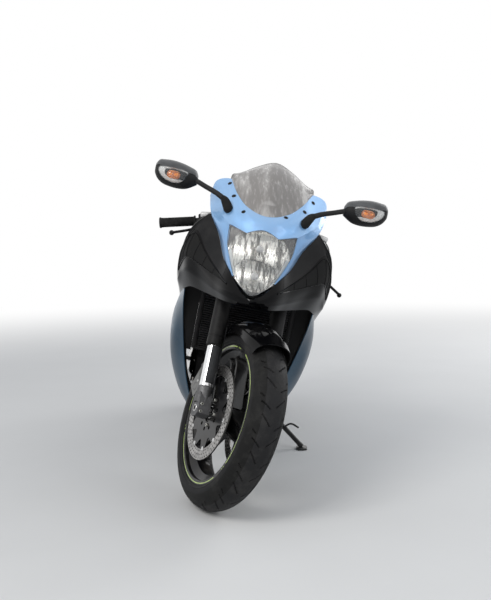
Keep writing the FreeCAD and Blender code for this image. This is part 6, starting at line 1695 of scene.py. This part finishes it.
large = Piece("rear_sprocket_ring", REAR)
windows = [circle(*polar(76, a), 9, 14) for a in np.arange(10) * math.pi / 5]
slab(large, toothed(LARGE[2], 43), 101.4, 104.6, steel, holes=[circle(0, 0, 62, 60), *windows])
slab(large, circle(0, 0, 68, 60), 97.2, 101.4, grey_cast, holes=[circle(0, 0, 34, 40)])
for a in np.arange(5) * 2 * math.pi / 5:
    nut(large, (101.3, *polar(52, a)), LEFT, 7, 6, zinc)
large.done("rear_wheel", ["rear_sprocket"], "steel", bevel=0.3)

small = Piece("front_sprocket_and_cover")
slab(small, [(SMALL[0] + y, SMALL[1] + z) for y, z in toothed(SMALL[2], 16, 0.1)], 101, 105, steel)
lathe(small, [(88, 0), (88, 20), (106, 20), (106, 17, 6), (113, 17, 6), (113, 0)], steel, (0, 88, 402), LEFT, 30)
small.done("chassis", ["front_sprocket"], "steel", bevel=0.3)

spindle = Piece("rear_axle_parts")
tube(spindle, [(-151, 700, 315), (151, 700, 315)], 11.9, steel, 36)
nut(spindle, (151, 700, 315), LEFT, 17, 9, steel)
lathe(spindle, [(0, 16, 6), (8, 16, 6), (9, 14.5), (9, 0)], steel, (-151, 700, 315), RIGHT, 36)
for side in (-1, 1):
    lathe(spindle, [(97.7, 12), (97.7, 19), (98.7, 20), (114, 20), (114.8, 19), (114.8, 12)], steel, (0, 700, 315),
          (side, 0, 0), 36)
spindle.done("chassis", ["rear_axle"], "steel", bevel=0.3)

rear_brake = Piece("rear_caliper_casting")
REAR_BLOCK = [(614, 340), (602, 338), (574, 345), (569, 352), (578, 392), (586, 399), (620, 388), (627, 380),
    (622, 350)]
slab(rear_brake, REAR_BLOCK, -114.6, -108, caliper_grey)
slab(rear_brake, REAR_BLOCK, -90.5, -83, caliper_grey)
slab(rear_brake, [(574, 345), (569, 352), (578, 392), (586, 399), (592, 396), (584, 352), (586, 342)], -109, -90,
    caliper_grey)
lathe(rear_brake, [(0, 16), (3, 16), (4, 14.5), (4, 11), (2.5, 10), (2.5, 0)], grey_cast, (-114, 600, 368),
    RIGHT, 30)
lathe(rear_brake, [(0, 4.6, 6), (5, 4.6, 6), (5, 3), (11, 2.6), (11, 0)], steel, (-100, 584, 396), (0, -0.3, 1), 18)
rear_brake.done("chassis", ["rear_caliper"], "engine_grey", bevel=1.2)

shock = Piece("rear_shock_unit")
lathe(shock, [(420, 0), (420, 15), (424, 18), (436, 18), (438, 12), (500, 12), (500, 17), (505, 21), (512, 21),
    (514, 16), (560, 16), (564, 21), (569, 21), (569, 0)], black_cast, (0, 232, 0), UP, 36)
coil = [(20.5 * math.cos(a), 232 + 20.5 * math.sin(a), 441 + 62 * a / (12 * math.pi))
    for a in np.linspace(0, 12 * math.pi, 150)]
tube(shock, coil, 3.9, steel, 12, smooth=False)
shock.done("chassis", ["rear_shock"], "steel", bevel=0.3)

# %% [markdown]
# ## Engine
# Behind the panels sits an in-line four: crankcase, a leaning block of cylinders, head cover, and round covers
# over the clutch and the alternator, each ringed by its bolts.

# %% Engine
engine = Piece("engine_castings")
slab(engine, [(-249, 292), (-234, 237), (19, 237), (19, 478), (-190, 478), (-249, 398)], -143, 143, black_cast)
slab(engine, [(-58, 302), (112, 302), (124, 314), (124, 478), (112, 490), (-58, 490)], -85, 85, black_cast)
slab(engine, [(-188, 476), (-62, 482), (-96, 590), (-246, 590)], -146, 146, grey_cast)
slab(engine, [(-248, 592), (-96, 592), (-130, 660), (-190, 672), (-284, 640)], -148, 148, grey_cast)
slab(engine, [(-282, 642), (-190, 674), (-132, 662), (-134, 686), (-190, 705), (-274, 676)], -136, 136, black_cast)
for x in np.linspace(-120, 120, 7):
    lathe(engine, [(0, 9), (3, 9), (4, 7), (4, 4, 6), (1, 4, 6), (1, 0)], zinc, (x, -232, 692), (0, -0.34, 0.94), 18)
for z in range(5):
    slab(engine, [(-200 - z * 9, 496 + z * 17), (-70 - z * 6, 496 + z * 17), (-71 - z * 6, 500 + z * 17),
        (-201 - z * 9, 500 + z * 17)], -149.5, 149.5, grey_cast)
for side, at, big, deep in ((-1, (-150, -60, 360), 80, 24), (1, (149, -165, 350), 74, 36)):
    way = (side, 0, 0)
    lathe(engine, [(-6, big), (4, big), (6, big - 1.5), (6, big - 8), (deep - 9, big - 12), (deep - 2, big - 22),
        (deep - 0.5, big - 32), (deep - 3, big - 38), (deep - 3, 0)], black_cast, at, way, 64)
    for i in range(10):
        bolt(engine, np.array(at) + (side * 5.5, *polar(big - 4.5, i * math.pi / 5 + 0.3)), way, 4.2, zinc, 4,
            black_cast)
lathe(engine, [(0, 15), (3, 15), (4, 13.5), (4, 6), (2, 5.5), (2, 0)], steel, (-173, -60, 360), RIGHT, 30)
lathe(engine, [(0, 16), (3, 16), (5, 13), (5, 0)], black_plastic, (-151, -168, 300), RIGHT, 30)
slab(engine, [(60, 350), (122, 352), (124, 448), (60, 450), (44, 436), (44, 364)], 84, 88, black_cast)
slab(engine, [(-196, 262), (-60, 262), (-60, 252), (-196, 252)], 143, 149, black_cast, mirror=True)
engine.done("chassis", ["engine"], "engine_grey", bevel=1.6, smooth=34)

# %% [markdown]
# ## Exhaust
# Four header pipes sweep down from the ports into a collector, and one short muffler leaves on the right.

# %% Exhaust
pipes = Piece("header_pipes")
for top_x, low_x in ((113, 62), (38, 21), (-38, -21), (-113, -62)):
    path = [(top_x, -240, 593), (top_x, -276, 572.4), (top_x, -286, 530), (0.4 * top_x + 0.6 * low_x, -286, 330),
            (low_x, -262, 208), (low_x, -225, 188), (low_x, -92, 188)]
    tube(pipes, path, 17.8, heat_steel, 28, 9)
    lathe(pipes, [(0, 18), (0, 25), (1, 26), (7, 26), (8, 25), (8, 18)], zinc, (top_x, -246, 590.5), (0, -0.86, -0.5),
        30)
    for x in (-24, 24):
        nut(pipes, (top_x + x, -249, 588.5), (0, -0.86, -0.5), 5, 9, zinc)
rings = [box_ring(-wide, wide, y, low, high, 18, 6) for y, wide, low,
    high in ((-100, 82, 168, 207), (-90, 83, 167, 208), (-20, 59, 165, 209), (40, 46, 167, 212), (58, 40, 170, 210))]
loft(pipes, refine(rings, 5), heat_steel)
tube(pipes, [(0, 30, 190), (0, 76, 190), (-60, 104, 207), (-110, 120, 225), (-152, 151, 241)], 20.8, heat_steel, 30,
    8)
lathe(pipes, [(-6, 21), (-6, 25), (-5, 26), (5, 26), (6, 25), (6, 21)], steel, (-118, 126, 228), (-0.62, 0.7, 0.3),
    36)
pipes.done("chassis", ["exhaust_headers"], "steel", bevel=0.3, smooth=40)

muffler = Piece("muffler_can")
SECTION = [(-104, 0, 240), (-120, 0, 300), (-200, 0, 300), (-218, 0, 240), (-205, 0, 195), (-110, 0, 195)]


def can(finish, stations, at=0):
    """Rings of (along, share of the full section), raised with their own place along or all with one."""
    sharp = np.concatenate([np.linspace(a, b, 6, endpoint=False) for a, b in zip(SECTION, SECTION[1:] + SECTION[:1])])
    middle = np.array((-160, 0, 247))
    loop = closed(SECTION, 6) * 0.5 + sharp * 0.5 - middle
    loft(muffler, [loop * (grow, 1, grow) + middle + (0, y, ((at or y) - 180) * 0.095) for y, grow in stations],
        finish)


can(steel, ((152, 0.60), (160, 0.74), (172, 0.90), (180, 0.95), (196, 0.97), (390, 0.97), (402, 0.94)))
for y in (198, 386):
    can(zinc, [(y + along, grow) for along, grow in ((-5, 0.97), (-4, 0.985), (4, 0.985), (5, 0.97))], y)
can(black_cast, ((396, 0.96), (402, 0.985), (410, 0.95), (418, 0.84), (419.5, 0.78)))
lathe(muffler, [(-4, 24), (0.5, 24), (0.5, 21), (-20, 20), (-20, 0)], black_cast, (-160, 419.4, 270), (0, 1, 0.1), 40)
slab(muffler, [(232, 214), (372, 226), (366, 292), (246, 288)], -218.2, -215.2, black_plastic)
for y, z in ((240, 222), (362, 233), (358, 284), (252, 280)):
    bolt(muffler, (-217.2, y, z), RIGHT, 5, steel, 3, black_cast)
muffler.done("chassis", ["muffler"], "steel", bevel=0.6, smooth=40)

# %% [markdown]
# ## Plate holder and rear indicators
# The last pieces are small but stand out against the sky. Here they are the curved plate holder and the
# indicators on their rubber stalks.

# %% Rear mudguard and indicators
HOLDER = [(660, 60, 812, 800), (760, 62, 812, 796), (830, 62, 790, 778), (880, 61, 742, 730), (930, 60, 690, 676),
    (1010, 72, 580, 572), (1030, 80, 500, 496)]
holder = Piece("plate_holder")
rows = []
for y, half, high, low in HOLDER:
    rows.append([(x * half, y - 7 * abs(x) ** 3, (high + low) / 2 - 4 * abs(x) ** 4) for x in np.linspace(-1, 1, 9)])
panel(holder, refine(rows, 6), 5, (0, 600, 500), black_plastic)
for x in (-42, 42):
    tube(holder, [(x, 664, 804), (x, 762, 802), (x, 826, 783), (x, 928, 684), (x * 1.1, 1000, 588)], 4.5,
        black_plastic, 12, 6)
block(holder, (-30, 944, 676), (30, 944, 676), 16, 14, black_plastic, 4, 1.5, (0, 0.7, 0.7))
block(holder, (-22, 946, 667.5), (22, 946, 667.5), 9, 3, lens_clear, 1, 0.6, UP)
lathe(holder, [(0, 27), (2, 27), (3.5, 25), (3.5, 0)], red_lens, (0, 1021, 546), (0, 1, 0.25), 40)
holder.done("chassis", ["rear_mudguard"], "black_plastic", bevel=0.8)

blinkers = Piece("rear_indicator_pair")
tube(blinkers, [(40, 862, 748), (66, 862, 748), (98, 862, 748)], [8.5, 6, 6.4], black_rubber, 18, 5, True)
for depth, finish in (((-15, 0.55), (-10, 0.82), (-3, 0.97), (3, 1.0)),
        black_plastic), (((3, 0.97), (8, 0.92), (12, 0.78), (14.5, 0.5), (15.4, 0.15)), amber):
    loft(blinkers, [[(129 + a * g * (1 - 0.1 * (b > 0)), 862 + d, 748 + b * g) for a,
        b in rounded_section(60, 31, 12, 5)] for d, g in depth], finish, mirror=True)
blinkers.done("chassis", ["rear_indicators"], "amber_lens", bevel=0.2, smooth=50)

# %% [markdown]
# ## Footrests and pedals
# Cast plates on both sides carry the ribbed pegs and the pedals.

# %% Footrests and pedals
rests = Piece("footrest_sets")
slab(rests, [(131, 471), (150, 488), (174, 493), (192, 484), (318, 402), (330, 384), (340, 334), (330, 326),
    (300, 325), (228, 330), (210, 340), (152, 398), (136, 440)], 150.4, 159, grey_cast, mirror=True,
    holes=[[(200, 440), (262, 400), (300, 372), (300, 352), (240, 354), (204, 388), (184, 424)]])
for at, length, radius in (((158.5, 235, 362), 90, 10.4), ((158.5, 318, 372), 76, 9.4)):
    profile = [(0, radius - 1), (8, radius - 1), (9, radius)]
    for ring in range(int((length - 16) / 6)):
        profile += [(11 + ring * 6, radius), (12.5 + ring * 6, radius - 1.6), (14.5 + ring * 6, radius - 1.6),
            (16 + ring * 6, radius)]
    profile += [(length - 1.5, radius), (length, radius - 1.5), (length, 0)]
    lathe(rests, profile, silver_cast, at, LEFT, 28, True)
tube(rests, [(166, 222, 345), (168, 168, 336), (174, 98, 322)], [8, 6, 6.8], silver_cast, 20, 6, True)
lathe(rests, [(159, 10), (160, 11), (174, 11), (175, 10), (175, 0)], grey_cast, (0, 222, 345), LEFT, 28, True)
lathe(rests, [(166, 6), (167, 8), (208, 8), (209.5, 6.5), (209.5, 0)], black_rubber, (0, 98, 322), LEFT, 24,
    True)
for y, z in ((158, 470), (176, 476), (326, 350)):
    bolt(rests, (159, y, z), LEFT, 6, zinc, 5, black_cast, True)
slab(rests, [(176, 330), (236, 326), (262, 378), (214, 420), (188, 396)], 147, 150, black_cast, mirror=True)
rests.done("chassis", ["footrests"], "alloy", bevel=0.9)

# %% [markdown]
# ## Side stand
# The stand has a flat foot and a spring. It rides on its own body, so it folds up in the model.

# %% Side stand
stand = Piece("side_stand_leg")
pin = np.array((121.0, 84, 238))
pin_way = np.array((0.617, -0.089, 0.782))
pin_way /= np.linalg.norm(pin_way)
foot = pin + (210, -109, -163)
lean = math.radians(12.5)
floor_up = np.array((-math.sin(lean), 0, math.cos(lean)))
lathe(stand, [(-30, 7.2), (-30, 14.5), (-28.5, 16), (-2, 16), (-0.5, 14.5), (-0.5, 7.2)], black_cast, pin, pin_way,
    32)
leg_start, leg_end = pin - pin_way * 18, foot + floor_up * 10
leg_way = (leg_end - leg_start) / np.linalg.norm(leg_end - leg_start)
tube(stand, [leg_start, leg_start + leg_way * 30, leg_start * 0.5 + leg_end * 0.5, leg_end - leg_way * 24, leg_end],
     [12.5, 11, 10, 9.6, 10.6], frame_metal, 24, 5)
side_way = np.array((math.cos(lean), 0, math.sin(lean)))
rings = []
for lift, share in ((0.2, 0.95), (1.2, 1.0), (5.6, 1.0), (6.8, 0.95)):
    rings.append([foot + side_way * a * share + np.array(BACK) * b * share + floor_up * lift for a,
        b in rounded_section(43, 61, 15, 5)])
loft(stand, rings, frame_metal)
middle = leg_start + (leg_end - leg_start) * 0.62
tube(stand, [middle, middle + (26, -14, 22), middle + (58, -22, 14)], 3.9, frame_metal, 14, 7)
low, high = leg_start + leg_way * 70 + (0, 14, 0), pin - pin_way * 15 + (-4, 20, 6)
run = high - low
first, second = cross_axes(run)
coil = [low + run * t + 5 * (math.cos(t * 100) * first + math.sin(t * 100) * second) for t in np.linspace(0, 1, 190)]
tube(stand, coil, 1.5, zinc, 8, smooth=False)
tube(stand, [leg_start + leg_way * 70, low], 3, zinc, 10)
stand.done("stand", ["side_stand"], "black_metal", bevel=0.4)

# %% [markdown]
# ## Plain pieces of the model
# The chain guard and the panels beside the radiator are flat sheets whose solids already look right.
# They stay as they are and only get a finish, in the slots that the model gave them.

# %% Finishes on the solids that stay
for node, finish in (("chain_guard", black_plastic), ("radiator_shrouds", inner_plastic)):
    for holder_slot in frame["nodes"][node].material_slots:
        holder_slot.material = finish
